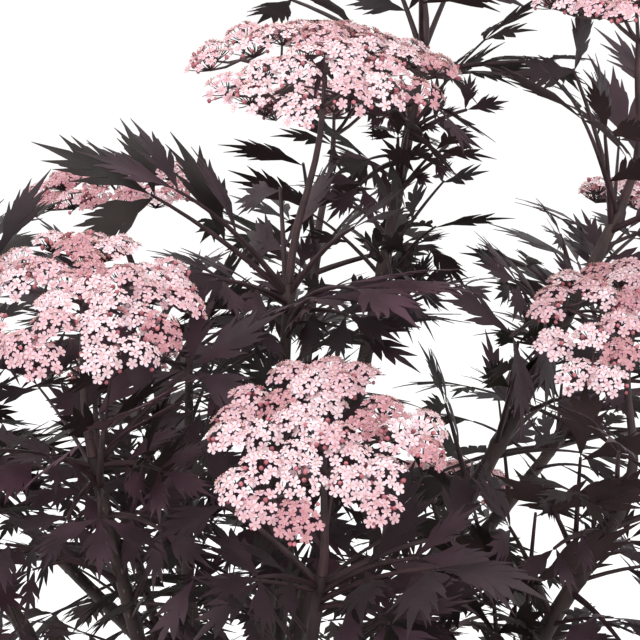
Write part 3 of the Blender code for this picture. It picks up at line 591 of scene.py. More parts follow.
def shootShape(stem, sides=5):
    # the stem inside a mass of foliage, as corners and faces
    start = stem["leafy"] + shrub["gap"] / (stem["line"][3] - stem["line"][0]).length
    middle = (1 + start) / 2
    slope = stem["tipRadius"] - stem["footRadius"]
    radii = (stem["footRadius"] + slope * start, stem["footRadius"] + slope * middle, stem["tipRadius"])
    side, corners = heading(stem["line"], start).orthogonal(), []
    for t, radius in zip((start, middle, 1), radii):
        way = heading(stem["line"], t)
        side = (side - way * side.dot(way)).normalized()
        above = way.cross(side)
        for k in range(sides):
            corners.append(bezier(stem["line"], t) + around(above, side, math.tau * k / sides) * radius)
    walls = [(ring + k, ring + (k + 1) % sides, ring + sides + (k + 1) % sides, ring + sides + k)
             for ring in (0, sides) for k in range(sides)]
    return corners, walls + [tuple(range(sides)), tuple(range(2 * sides, 3 * sides))]


def startCrown():
    steps = [k / 8 for k in range(9)]
    crown = {"axes": {}, "heads": [], "masses": {}, "trees": {}, "blades": {}, "gapShare": 1.0}
    for stem in canes:
        name = stem["name"]
        leafy = [stem["leafy"] + (1 - stem["leafy"]) * s for s in steps]
        crown["axes"][name] = linePieces([bezier(stem["line"], t) for t in leafy])
        if stem["head"]:
            crown["heads"].append((*headAxes(stem)[:2], stem["head"][2]))
        crown["masses"][name] = ([], [])
        gather(crown["masses"][name], *shootShape(stem))
        crown["trees"][name] = treeOf(*crown["masses"][name])
        crown["blades"][name] = np.zeros((0, 3))
    fixed = ([], [])
    for name, node in nodes.items():
        if name in ("pot", "trunk") or name.startswith(("bough_", "head_")):
            gather(fixed, [v.co for v in node.data.vertices], [p.vertices for p in node.data.polygons])
    crown["fixed"] = treeOf(*fixed)
    return crown


def crosses(crown, name, shape):
    # whether a shape meets a limb, a head, the pot or another mass
    tree = treeOf(*shape)
    if tree.overlap(crown["fixed"]):
        return True
    return any(tree.overlap(other) for owner, other in crown["trees"].items() if owner != name)


def keepLeaf(crown, name, leaf):
    mass = crown["masses"][name]
    gather(mass, *twigShape(leaf))
    for blade in leaf["blades"]:
        gather(mass, *bladeShape(blade))
    crown["trees"][name] = treeOf(*mass)
    crown["blades"][name] = np.vstack([crown["blades"][name], *[bladeSamples(b) for b in leaf["blades"]]])


def inSkyGap(points, share):
    # seen from the front, would a point hide one of the gaps?
    tilt = math.radians(shot["above"])
    toward = np.array([0, math.cos(tilt), -math.sin(tilt)])
    upward = np.array([0, math.sin(tilt), math.cos(tilt)])
    offset = points - np.array(shot["target"])
    scale = shot["distance"] / (shot["distance"] + offset @ toward)
    across, rise = offset[:, 0] * scale, offset @ upward * scale
    hidden = np.zeros(len(points), bool)
    for x, z, halfWidth, halfHeight in skyGaps:
        hidden |= ((across - x) / halfWidth) ** 2 + ((rise - z) / halfHeight) ** 2 < share * share
    return hidden


def inHead(crown, points):
    inside = np.zeros(len(points), bool)
    for fork, axis, radius in crown["heads"]:
        offset = points - np.array(fork)
        rise = offset @ np.array(axis)
        out = np.sqrt(np.maximum((offset**2).sum(1) - rise**2, 0))
        top = radius * leafRule["headRise"]
        cone = np.clip(rise / (top * 0.75), 0, 1) * radius * 1.02 + 0.003
        inside |= (rise > -0.002) & (rise < top + 0.012) & (out < cone)
    return inside


def isFree(crown, name, points, isBlade, apart):
    own = distanceTo(points, *crown["axes"][name])
    if own.max() > leafRule["massReach"] or points[:, 2].min() < leafRule["lowest"]:
        return False
    for other, pieces in crown["axes"].items():
        if other != name and (distanceTo(points, *pieces) < own - leafRule["overreach"]).any():
            return False
    if inHead(crown, points).any():
        return False
    if not isBlade:
        return True
    if inSkyGap(points, crown["gapShare"]).any():
        return False
    kept = crown["blades"][name]
    if not len(kept):
        return True
    return bool((np.sqrt(((points[:, None] - kept[None]) ** 2).sum(2)).min(1) > apart).all())


def bladePoint(blade, along, across=0.0, lift=0.0):
    drop = blade["sag"] * blade["length"] * along * along
    place = blade["foot"] + blade["way"] * (blade["length"] * along)
    return place + blade["across"] * (across * blade["halfWidth"]) + blade["normal"] * (lift - drop)


def bladeShape(blade):
    half = leafRule["clearance"] + blade["length"] * leafRule["thickness"] / 2
    wide = leafRule["widest"]
    edge = leafRule["edge"]
    marks = ((0.06,), (wide, edge, half), (wide, -edge, half), (wide, -edge, -half), (wide, edge, -half),
             (1.02,))
    faces = ((0, 1, 2), (0, 2, 3), (0, 3, 4), (0, 4, 1), (5, 2, 1), (5, 3, 2), (5, 4, 3), (5, 1, 4))
    return [bladePoint(blade, *mark) for mark in marks], faces


def bladeSamples(blade):
    wide = leafRule["widest"]
    marks = ((0.26, 0), (wide, 1), (wide, -1), (0.62, 0.62), (0.62, -0.62), (0.8, 0), (1, 0))
    return rowsOf(bladePoint(blade, *mark) for mark in marks)


def makeLeaf(foot, tip, arch, toFront, draw):
    length = (tip - foot).length
    middle = foot.lerp(tip, 0.5)
    line = [foot, middle + up * (arch * length), tip]
    outward = (middle - Vector((*leafRule["crownAxis"], middle.z))).normalized()
    if toFront:
        outward = Vector((0, -1, 0))
    level = (tip - foot).cross(up).normalized()
    facing = leafRule["frontFacing" if toFront else "facing"]
    play = leafRule["facingPlay"]
    roll = draw.uniform(*facing) * outward.dot(level) + draw.uniform(-play, play)

    def blade(pair, place, hand, size):
        t = place * leafRule["rachisShare"]
        ahead = heading(line, t)
        flat = ahead.cross(up).normalized()
        side = around(flat, -flat.cross(ahead), roll)
        normal = side.cross(ahead).normalized()
        loose = leafRule["pairPlay"]
        spread = math.radians(leafRule["pairSpreads"][pair or 0] + draw.uniform(-loose, loose)) * hand
        way = around(ahead, side, spread)
        return {"pair": pair, "foot": bezier(line, t), "way": way, "normal": normal,
                "across": normal.cross(way).normalized(), "length": length * size,
                "halfWidth": length * size * leafRule["width"] / 2, "sag": draw.uniform(*leafRule["sag"])}

    blades = [blade(None, 1.0, 0, 1 - leafRule["rachisShare"])]
    for pair, (place, size) in enumerate(zip(leafRule["pairPlaces"], leafRule["pairLengths"])):
        for hand in (1, -1):
            blades.append(blade(pair, place, hand, size * draw.uniform(*leafRule["sizes"])))
    return {"line": line, "blades": blades}


def rachisPoints(leaf, count=5):
    return [bezier(leaf["line"], leafRule["rachisShare"] * k / (count - 1)) for k in range(count)]


def twigShape(leaf):
    points = rachisPoints(leaf)
    points[0] = points[0] + (points[1] - points[0]).normalized() * leafRule["twigStart"]
    ahead = (points[-1] - points[0]).normalized()
    side = ahead.cross(up).normalized()
    above = side.cross(ahead) * 0.9
    spokes = (side, above - side * 0.5, -above - side * 0.5)
    thick = leafRule["rachisRadius"] + leafRule["clearance"]
    corners = [point + spoke * thick for point in points for spoke in spokes]
    faces = [(3 * k + a, 3 * k + b, 3 * k + b + 3, 3 * k + a + 3) for k in range(len(points) - 1)
             for a, b in ((0, 1), (1, 2), (2, 0))]
    return corners, faces


def roomFor(crown, name, leaf, apart):
    # the blades that keep to the mass's own space and clear of each other
    fits, trees = [], []
    for blade in leaf["blades"]:
        shape = bladeShape(blade)
        if not isFree(crown, name, bladeSamples(blade), True, apart) or crosses(crown, name, shape):
            continue
        tree = treeOf(*shape)
        if any(tree.overlap(other) for other in trees):
            continue
        fits.append(blade)
        trees.append(tree)
    return fits


def bestLeaf(crown, name, aim, draw, tries, apart, play=0.05):
    # the fullest of several tries that keep to the mass's own space, or None
    best, kept = None, []
    foot, tip, arch = aim
    reach = tip - foot
    for trial in range(tries):
        loose = play * trial
        shake = shaken(draw, 1) * (loose * reach.length)
        end = foot + (reach + shake).normalized() * (reach.length * (1 - 0.6 * loose))
        bow = arch or draw.uniform(*leafRule["arch"])
        leaf = makeLeaf(foot, end, bow, arch is not None, draw)
        twig = rowsOf(rachisPoints(leaf)[1:])
        if not isFree(crown, name, twig, False, apart) or crosses(crown, name, twigShape(leaf)):
            continue
        fits = roomFor(crown, name, leaf, apart)
        if len(fits) > len(kept):
            best, kept = leaf, fits
        if len(kept) == len(leaf["blades"]):
            break
    if len(kept) < leafRule["fewest"]:
        return None
    best["blades"] = kept
    keepLeaf(crown, name, best)
    return best


def chosenAims(stem):
    highest = 1 - leafRule["topNode"] / lineLength(stem["line"])
    return [(bezier(stem["line"], min(t, highest)), Vector(tip), arch)
            for t, tip, arch in chosenLeaves.get(stem["name"], ())]


def nodeAims(stem, draw):
    # pairs from the top node down, each at right angles to the last
    line, aims = stem["line"], []
    length = lineLength(line)
    drops = [leafRule["topNode"], leafRule["topNode"] + 0.010]
    drops += [0.016 + stem["spacing"] * (k + 1) for k in range(stem["nodes"])]
    turnPlay, risePlay = leafRule["spinPlay"], leafRule["heightPlay"]
    for node, drop in enumerate(drops):
        t = 1 - drop / length
        if t < stem["leafy"] + 0.02:
            break
        foot = bezier(line, t)
        for k in range(2):
            spin = stem["turn"] + node * math.pi / 2 + k * math.pi + draw.uniform(-turnPlay, turnPlay)
            height = math.radians(leafRule["heights"][min(node, 3)]) + draw.uniform(-risePlay, risePlay)
            reach = wayAt(spin, height) * (stem["leaf"] * draw.uniform(*leafRule["reaches"]))
            aims.append((foot, foot + reach, None))
    return aims


# finer growth between those leaves: small leaves on short side twigs from the axils and the bare nodes
fineGrowth = {
    "perCane": 36,
    "lengths": (0.080, 0.130),
    "tries": 7,
    "apart": 0.0065,
    "gapShare": 0.75,  # how much of each sky gap it keeps out of
    "arch": (0.12, 0.26),  # of those placed one by one
    "top": 0.985,  # share of a cane where it starts
    "lowShare": 0.72,  # of the leafy start, how far down a cane it goes
    "spinPlay": 0.4,
    "heights": (-0.35, 0.85),
}

# more leaves placed one by one, after those of the solids: share along the cane and the leaf's tip
fineChosen = {
    "centre": ((0.85, (0.055, -0.060, 0.660)), (0.80, (0.075, -0.070, 0.637)), (0.90, (0.004, -0.060, 0.660)),
               (0.82, (0.012, -0.060, 0.629)), (0.92, (0.067, -0.070, 0.680)), (0.76, (0.037, -0.090, 0.631)),
               (0.72, (-0.006, -0.070, 0.624))),
    "tall": ((0.62, (0.119, 0.020, 0.670)), (0.72, (0.134, 0.010, 0.694)), (0.66, (0.108, 0.020, 0.643)),
             (0.80, (0.145, 0.030, 0.728)), (0.88, (0.127, 0.040, 0.751)), (0.70, (0.063, 0.020, 0.692)),
             (0.92, (0.076, 0.030, 0.736))),
    "right_tall": ((0.62, (0.122, -0.020, 0.654)), (0.70, (0.139, -0.030, 0.675)),
                   (0.74, (0.147, -0.040, 0.653)), (0.80, (0.128, -0.010, 0.692)),
                   (0.56, (0.104, -0.040, 0.630)), (0.68, (0.170, -0.030, 0.667)),
                   (0.88, (0.164, -0.010, 0.713)), (0.92, (0.190, -0.040, 0.685))),
    "right": ((0.72, (0.135, -0.100, 0.631)), (0.80, (0.125, -0.120, 0.604)), (0.86, (0.145, -0.100, 0.656)),
              (0.66, (0.114, -0.100, 0.580)), (0.92, (0.182, -0.130, 0.621)), (0.88, (0.161, -0.120, 0.599)),
              (0.76, (0.145, -0.120, 0.563))),
    "left": ((0.80, (-0.025, -0.130, 0.638)), (0.86, (-0.088, -0.130, 0.624)),
             (0.74, (0.003, -0.100, 0.596))),
    "front": ((0.80, (0.117, -0.190, 0.563)), (0.76, (0.015, -0.190, 0.577))),
}


def fineAims(stem, draw):
    top, low = fineGrowth["top"], stem["leafy"] * fineGrowth["lowShare"]
    count, play = fineGrowth["perCane"], fineGrowth["spinPlay"]
    aims = []
    for k in range(count):
        foot = bezier(stem["line"], top - (top - low) * (k + draw.uniform(0, 0.6)) / count)
        spin = stem["turn"] + k * goldenAngle + draw.uniform(-play, play)
        way = wayAt(spin, draw.uniform(*fineGrowth["heights"]))
        aims.append((foot, foot + way * draw.uniform(*fineGrowth["lengths"]), None))
    return aims


def growLeaves():
    crown, leaves = startCrown(), []

    def grow(stem, aims, draw, fine, *rule):
        for aim in aims:
            leaf = bestLeaf(crown, stem["name"], aim, draw, *rule)
            if leaf:
                leaves.append({**leaf, "fine": fine})

    draws = {stem["name"]: random.Random(f"{shrub['seed']} {stem['name']}") for stem in canes}
    byHand = (leafRule["chosenTries"], leafRule["apart"], leafRule["chosenPlay"])
    for stem in canes:
        grow(stem, chosenAims(stem), draws[stem["name"]], False, *byHand)
    for stem in canes:
        draw = draws[stem["name"]]
        grow(stem, nodeAims(stem, draw), draw, False, leafRule["tries"], leafRule["apart"])
    print(f"  {len(leaves)} leaves where the solids have them")
    crown["gapShare"] = fineGrowth["gapShare"]
    draw = random.Random(f"{shrub['seed']} chosen")
    byHand = (leafRule["chosenTries"], fineGrowth["apart"], leafRule["chosenPlay"])
    for stem in canes:
        for t, tip in fineChosen.get(stem["name"], ()):
            aim = (bezier(stem["line"], t), Vector(tip), draw.uniform(*fineGrowth["arch"]))
            grow(stem, [aim], draw, False, *byHand)
    print(f"  {len(leaves)} leaves with the others placed by hand")
    for stem in canes:
        draw = random.Random(f"{shrub['seed']} fine {stem['name']}")
        grow(stem, fineAims(stem, draw), draw, True, fineGrowth["tries"], fineGrowth["apart"])
    print(f"  {len(leaves)} leaves with the finer ones")
    return leaves


leaves = growLeaves()


# leaf blades: cut leaflets with an upper and a lower skin

leafletShape = {
    "stations": (0.24, 0.62),  # along the midrib, where the lobes start and end
    "neck": (0.058, 0.034),  # half widths between the lobes there
    "lobeReach": 0.335,
    "lobeAngle": 29,
    "ridge": 0.004,
    "thickness": 0.006,
    "fold": (0.12, 0.42),  # how steeply the halves rise from the midrib
    "cup": (0.6, 1.6),  # and fall again
    "waves": (0, 6),  # where their ripple starts
    "ripple": 0.05,
    "roll": 0.2,
    "variants": 5,
}

leafTints = {
    # name: (share, light and dark tone above, and the same below)
    "plum": (0.44, ((0.046, 0.023, 0.032), (0.020, 0.010, 0.014)),
             ((0.038, 0.022, 0.023), (0.020, 0.012, 0.012))),
    "black": (0.32, ((0.024, 0.012, 0.016), (0.011, 0.005, 0.007)),
              ((0.024, 0.015, 0.014), (0.012, 0.007, 0.007))),
    "purple": (0.12, ((0.054, 0.022, 0.034), (0.027, 0.010, 0.016)),
               ((0.050, 0.023, 0.028), (0.026, 0.012, 0.014))),
    "bronze": (0.12, ((0.024, 0.017, 0.016), (0.012, 0.009, 0.008)),
               ((0.026, 0.024, 0.015), (0.015, 0.014, 0.009))),
}


def cutLeaflet(draw, lobes, width):
    # one blade along X, a unit long: toothed lobes on both sides of a midrib, as a thin shell
    shape = leafletShape
    (first, last), (broad, slim) = shape["stations"], shape["neck"]
    stations = [first + (last - first) * k / lobes for k in range(lobes + 1)]
    necks = [(broad + (slim - broad) * k / lobes) * width for k in range(lobes + 1)]
    bm = bmesh.new()
    foot, tip = bm.verts.new((0, 0, 0)), bm.verts.new((1, 0, 0))
    crest = [bm.verts.new((x, 0, shape["ridge"])) for x in stations + [0.81]]
    for hand in (1, -1):
        def at(x, y):
            return bm.verts.new((x, y * hand, 0))

        sinuses = [at(x, y) for x, y in zip(stations, necks)]
        skins = [[foot, at(0.05, 0.009), at(0.15, 0.040 * width), sinuses[0], crest[0]]]
        for k in range(lobes):
            a, b = Vector((stations[k], necks[k])), Vector((stations[k + 1], necks[k + 1]))
            angle = math.radians(shape["lobeAngle"] - 4.5 * k + draw.uniform(-4, 4))
            reach = shape["lobeReach"] * draw.uniform(0.8, 1.15) * (1 - 0.22 * (k / lobes) ** 2) * width
            point = (a + b) / 2 + Vector((math.cos(angle), math.sin(angle))) * reach
            outward = Vector((a.y - point.y, point.x - a.x)).normalized()
            edge = [a.lerp(point, 0.40) + outward * 0.024, point, b.lerp(point, 0.5) - outward * 0.010]
            if lobes > 2:
                edge[1:1] = [a.lerp(point, 0.62) + outward * 0.021, a.lerp(point, 0.67) + outward * 0.007]
            skins.append([crest[k], sinuses[k], *[at(*p) for p in edge], sinuses[k + 1], crest[k + 1]])
        end = [at(0.71, slim * width + 0.010), at(0.725, slim * width - 0.010), at(0.86, 0.018)]
        skins.append([crest[lobes], sinuses[lobes], *end, tip, crest[lobes + 1]])
        for outline in skins:
            bm.faces.new(outline[::-1] if hand == 1 else outline)
    bmesh.ops.triangulate(bm, faces=bm.faces[:])
    fold, cup, wave = (draw.uniform(*shape[key]) for key in ("fold", "cup", "waves"))
    for corner in bm.verts:
        x, y = corner.co.x, abs(corner.co.y)
        corner.co.z += fold * y - cup * y * y + shape["ripple"] * y * math.sin(11 * x + wave)
    thick = bmesh.ops.extrude_face_region(bm, geom=bm.faces[:], use_keep_orig=True)["geom"]
    lowered = {part for part in thick if isinstance(part, bmesh.types.BMVert)}
    bmesh.ops.translate(bm, verts=list(lowered), vec=(0, 0, -shape["thickness"]))
    under = [face for face in bm.faces if all(corner in lowered for corner in face.verts)]
    for face in under:
        face.material_index = 1
    bmesh.ops.recalc_face_normals(bm, faces=bm.faces[:])
    return arraysOf(bm)


def leafletCopies(blades, shapes, draw):
    # each blade's corners, bent as the rule bends the plain one
    parts = []
    for blade, (corners, faces, _) in zip(blades, shapes):
        roll = draw.uniform(-leafletShape["roll"], leafletShape["roll"])
        way, across, normal = (np.array(blade[key]) for key in ("way", "across", "normal"))
        turned, lifted = around(across, normal, roll), around(normal, -across, roll)
        x, y, z = corners.T[:, :, None] * blade["length"]
        drop = blade["sag"] * blade["length"] * corners[:, :1] ** 2
        placed = np.array(blade["foot"]) + x * way + y * turned + z * lifted - drop * normal
        parts.append((placed, faces))
    return *stacked(parts), np.concatenate([looks for _, _, looks in shapes])


def makeLeaves():
    draw = random.Random(f"{shrub['seed']} blades")
    endShapes = [cutLeaflet(draw, 3, 1.0) for _ in range(leafletShape["variants"])]
    sideShapes = [cutLeaflet(draw, 3, 1.0) for _ in range(leafletShape["variants"] + 2)]
    smallShapes = [cutLeaflet(draw, 2, 0.85) for _ in range(leafletShape["variants"])]
    dealt = {tint: [] for tint in leafTints}
    for leaf in leaves:
        tint = draw.choices(list(leafTints), [row[0] for row in leafTints.values()])[0]
        dealt[tint].append(leaf)
    for tint, group in dealt.items():
        _, above, below = leafTints[tint]
        blades, shapes = [], []
        for leaf in group:
            for blade in leaf["blades"]:
                pool = smallShapes if leaf["fine"] else endShapes if blade["pair"] is None else sideShapes
                blades.append(blade)
                shapes.append(draw.choice(pool))
        looks = [grownLook(f"{tint}Upper", *above, 30, 500, rough=(0.40, 0.60), bump=0.25,
                           Specular_IOR_Level=0.2),
                 grownLook(f"{tint}Under", *below, 30, 500, rough=(0.6, 0.8), bump=0.3,
                           Specular_IOR_Level=0.12)]
        rideJoined(f"leaves_{tint}", leafletCopies(blades, shapes, draw), looks, 40, "leaf",
                   *(cadNamed("foliage_") if tint == "plum" else ()))


makeLeaves()
print("leaves")


# leaf stalks

def tubeArrays(tubes, sides):
    # many closed tubes at once, each given as its points and the radii there
    lines = np.array([rowsOf(points) for points, _ in tubes])
    radii = np.array([row for _, row in tubes])
    count, rings, _ = lines.shape
    ahead = np.gradient(lines, axis=1)
    ahead /= np.linalg.norm(ahead, axis=2, keepdims=True)
    steep = np.abs(ahead[:, :1, 2:]) > 0.9
    helper = np.where(steep, np.array([1.0, 0, 0]), np.array([0, 0, 1.0]))
    side = np.cross(ahead, helper)
    side /= np.linalg.norm(side, axis=2, keepdims=True)
    above = np.cross(side, ahead)
    turn = math.tau * np.arange(sides) / sides
    out = side[:, :, None] * np.cos(turn)[:, None] + above[:, :, None] * np.sin(turn)[:, None]
    corners = lines[:, :, None] + out * radii[:, :, None, None]
    faces = []
    for ring in range(rings - 1):
        for k in range(sides):
            a, b = ring * sides + k, ring * sides + (k + 1) % sides
            faces += [(a, a + sides, b + sides), (a, b + sides, b)]
    last = (rings - 1) * sides
    faces += [(0, k, k + 1) for k in range(1, sides - 1)]
    faces += [(last, last + k + 1, last + k) for k in range(1, sides - 1)]
    faces = np.array(faces)[None] + (np.arange(count) * rings * sides)[:, None, None]
    return corners.reshape(-1, 3), faces.reshape(-1, 3)


def makeLeafStalks():
    count, tubes = 8, []
    for leaf in leaves:
        thick = leafRule["rachisRadius"] * (0.75 if leaf["fine"] else 1.1)
        radii = [thick * (1.35 - 0.75 * k / (count - 1)) for k in range(count)]
        tubes.append((rachisPoints(leaf, count), radii))
    look = grownLook("leafStalkLook", (0.045, 0.022, 0.026), (0.020, 0.009, 0.011), 70, 500,
                     Specular_IOR_Level=0.3)
    rideJoined("leaf_stalks", tubeArrays(tubes, 6), [look], 60, "leaf")


makeLeafStalks()
print("leaf stalks")


# flower heads

headShape = {
    "rayAngles": (54, 126, 198, 270, 342),  # degrees from across to along
    "raySizes": (0.88, 1.03),
    "forks": ((0.34, 0.30), (0.66, 0.22)),  # of a ray: share of the radius, and below the dome
    "rays": ((0.0013, 0.0011, 0.0010), (0.0010, 0.0009, 0.0008), (0.0008, 0.0007, 0.0006)),  # radii
    "clumps": ((0.88, (-20, 0, 20)), (0.59, (-17, 17)), (0.36, (0,))),  # share, turns off the ray
    "middle": (0.13, 3),
    "middleRise": 0.25,
    "missing": 0.05,  # share of clumps that leave a gap
    "clumpRadius": (0.155, 0.185),  # of the head's radius
    "clumpDome": 0.46,
    "florets": (15, 18),
    "floretRadius": (0.0028, 0.0034),
    "budShare": 0.10,
    "budsBelow": 5,
    "pedicel": 0.010,
    "pedicelRadii": (0.0004, 0.0003, 0.00025),
    "cup": 0.13,
    "stalkEnd": 0.0015,
}

headTints = {
    # shares of pale, pink and rose clumps
    "front": (0.52, 0.38, 0.10),
    "back": (0.12, 0.43, 0.45),
}

petalTints = {
    # light and dark tone
    "pale": ((0.80, 0.62, 0.66), (0.70, 0.48, 0.53)),
    "pink": ((0.72, 0.47, 0.52), (0.58, 0.34, 0.39)),
    "rose": ((0.58, 0.30, 0.34), (0.42, 0.17, 0.21)),
}


def floretTemplate(cup):
    # five rounded petals round a throat, closed below, one unit in radius
    bm = bmesh.new()
    ring = []
    for petal in range(5):
        for turn, reach, rise in ((-36, 0.44, 0.0), (-23, 0.86, cup), (0, 1.0, cup * 0.7), (23, 0.86, cup)):
            angle = math.radians(72 * petal + turn)
            ring.append(bm.verts.new((math.cos(angle) * reach, math.sin(angle) * reach, rise)))
    throat = bm.verts.new((0, 0, -0.08))
    for petal in range(5):
        bm.faces.new([throat] + [ring[(4 * petal + k) % 20] for k in range(5)])
    below = bmesh.ops.poke(bm, faces=[bm.faces.new(ring[::-1])])["verts"][0]
    below.co = (0, 0, -0.20)
    return arraysOf(bm)


def eyeTemplate():
    # the ovary in the middle of a flower with its five stamens
    bm = bmesh.new()
    ovary = bmesh.ops.create_cone(bm, cap_ends=True, segments=4, radius1=0.17, radius2=0, depth=0.24)
    bmesh.ops.translate(bm, verts=ovary["verts"], vec=(0, 0, 0.05))
    for k in range(5):
        angle = math.radians(72 * k + 36)
        out = Vector((math.cos(angle), math.sin(angle), 0))
        stamen = bmesh.ops.create_cone(bm, cap_ends=True, segments=3, radius1=0, radius2=0.09, depth=0.5)
        turn = up.rotation_difference((out * 0.9 + up * 0.7).normalized()).to_matrix().to_4x4()
        bmesh.ops.transform(bm, matrix=turn, verts=stamen["verts"])
        bmesh.ops.translate(bm, verts=stamen["verts"], vec=out * 0.28 + up * 0.16)
    return arraysOf(bm)


def grainTemplate(halfSizes):
    # a small rounded body: a bud or a pore
    bm = bmesh.new()
    bmesh.ops.create_icosphere(bm, subdivisions=1, radius=1)
    bmesh.ops.scale(bm, verts=bm.verts[:], vec=halfSizes)
    return arraysOf(bm)


def copiesOf(template, spots):
    # the template at each (place, frame, size)
    corners, faces, _ = template
    places, frames, sizes = (np.array(values) for values in zip(*spots))
    moved = np.einsum("nij,vj->nvi", frames, corners) * sizes[:, None, None] + places[:, None]
    stepped = faces[None] + (np.arange(len(spots)) * len(corners))[:, None, None]
    return moved.reshape(-1, 3), stepped.reshape(-1, 3)


def frameOn(normal, spin):
    # columns are the copy's own X, Y and Z
    z = normal.normalized()
    x = z.orthogonal().normalized()
    turned = around(x, z.cross(x), spin)
    return rowsOf((turned, z.cross(turned), z)).T


def bowed(start, end, bow, radii):
    # a short stalk, bent a little in its middle
    return [start, start.lerp(end, 0.5) + bow, end], radii


def fillClump(found, tint, joint, top, facing, spread, draw):
    # a domed tuft of flowers, each on its own stalk from one joint
    base = top - facing * headShape["pedicel"]
    found["rays"].append(bowed(joint, base, up * -0.001, headShape["rays"][2]))
    first = facing.orthogonal().normalized()
    second = facing.cross(first)
    phase, count = draw.uniform(0, math.tau), draw.randint(*headShape["florets"])

    def add(kinds, place, matrix, size, out, under):
        for kind in kinds:
            found[kind].append((list(place), matrix, size))
        end = place - facing * under
        found["pedicels"].append(bowed(base, end, out * 0.0008, headShape["pedicelRadii"]))

    for k in range(count):
        share = math.sqrt((k + 0.3) / count)
        out = around(first, second, phase + k * goldenAngle)
        sink = headShape["clumpDome"] * spread * share * share + draw.uniform(-0.0006, 0.0010)
        place = top + out * (spread * share) - facing * sink
        loose = shaken(draw, 0.25)
        matrix = frameOn(facing + out * (0.85 * share) + loose, draw.uniform(0, math.tau))
        size = draw.uniform(*headShape["floretRadius"])
        if draw.random() < headShape["budShare"]:
            add(("buds",), place, matrix, size * 0.4, out, 0.0006)
        else:
            add((tint, "eyes"), place, matrix, size, out, 0.0006)
    for _ in range(headShape["budsBelow"]):
        out = around(first, second, draw.uniform(0, math.tau))
        place = top + out * spread * draw.uniform(0.5, 1.1) - facing * draw.uniform(0.004, 0.007)
        add(("buds",), place, frameOn(facing, 0), draw.uniform(0.0009, 0.0013), out, 0)


def growHead(stem, found):
    draw = random.Random(f"{shrub['seed']} head {stem['name']}")
    fork, axis, across, along = headAxes(stem)
    radius = stem["head"][2]
    rise, dome = leafRule["headRise"], leafRule["headDome"]
    tints = headTints["back" if stem["name"].startswith("back") else "front"]

    def onDome(share, angle, drop=0.0):
        height = radius * (rise - dome * share * share) - drop
        return fork + axis * height + around(across, along, angle) * (radius * share)

    stalk, steps = flowerStalk(stem), [k / 7 for k in range(8)]
    thick, thin = stem["tipRadius"] * 0.9, headShape["stalkEnd"]
    found["stalks"].append(([bezier(stalk, t) for t in steps],
                            [thick + (thin - thick) * t ** 0.6 for t in steps]))
    clumps = []
    for ray in headShape["rayAngles"]:
        size = draw.uniform(*headShape["raySizes"])
        branch, joint = (onDome(share, math.radians(ray), radius * low) for share, low in headShape["forks"])
        found["rays"].append(bowed(fork, branch, axis * -0.001, headShape["rays"][0]))
        found["rays"].append(bowed(branch, joint, axis * -0.001, headShape["rays"][1]))
        for share, turns in headShape["clumps"]:
            for turn in turns:
                far = share * size * draw.uniform(0.95, 1.05)
                angle = math.radians(ray + turn + draw.uniform(-4, 4))
                clumps.append((joint if share > 0.5 else branch, far, angle))
    share, count = headShape["middle"]
    for k in range(count):
        clumps.append((fork + axis * radius * headShape["middleRise"], share * draw.uniform(0.7, 1.2),
                       math.tau * k / count + draw.uniform(-0.3, 0.3)))
    for joint, share, angle in clumps:
        if draw.random() < headShape["missing"]:
            continue
        top = onDome(share, angle, draw.uniform(-0.002, 0.004))
        loose = Vector((draw.uniform(-0.2, 0.2), draw.uniform(-0.2, 0.2), 0))
        facing = (axis + around(across, along, angle) * (2 * dome * share) + loose).normalized()
        tint = draw.choices(list(petalTints), tints)[0]
        spread = radius * draw.uniform(*headShape["clumpRadius"])
        fillClump(found, tint, joint, top, facing, spread, draw)


def makeHeads():
    found = {key: [] for key in (*petalTints, "eyes", "buds", "stalks", "rays", "pedicels")}
    for stem in canes:
        if stem["head"]:
            growHead(stem, found)
    floret = floretTemplate(headShape["cup"])
    for tint, (light, dark) in petalTints.items():
        look = grownLook(f"{tint}Petal", light, dark, 260, 1500, rough=(0.55, 0.75), bump=0.1,
                         Subsurface_Weight=0.15, Subsurface_Scale=0.002)
        rideJoined(f"blossom_{tint}", copiesOf(floret, found[tint]), [look], 50, "blossom",
                   *(cadNamed("head_") if tint == "pink" else ()))
    look = grownLook("eyeLook", (0.66, 0.46, 0.40), (0.46, 0.22, 0.20), 600, 1500, rough=(0.6, 0.8), bump=0.1)
    rideJoined("blossom_eyes", copiesOf(eyeTemplate(), found["eyes"]), [look], 50, "blossom")
    look = grownLook("budLook", (0.50, 0.16, 0.19), (0.24, 0.055, 0.070), 300, 1500, rough=(0.5, 0.7),
                     bump=0.1)
    rideJoined("blossom_buds", copiesOf(grainTemplate((1, 1, 1.25)), found["buds"]), [look], 180, "blossom")
    look = grownLook("flowerStalkLook", (0.058, 0.024, 0.027), (0.026, 0.012, 0.014), 90, 800,
                     rough=(0.5, 0.7), bump=0.1)
    sides = {"stalks": 8, "rays": 5, "pedicels": 3}
    tubes = [tubeArrays(found[key], count) for key, count in sides.items()]
    rideJoined("flower_stalks", stacked(tubes), [look], 60, "blossom")


makeHeads()
print("flower heads")


# pores in the bark

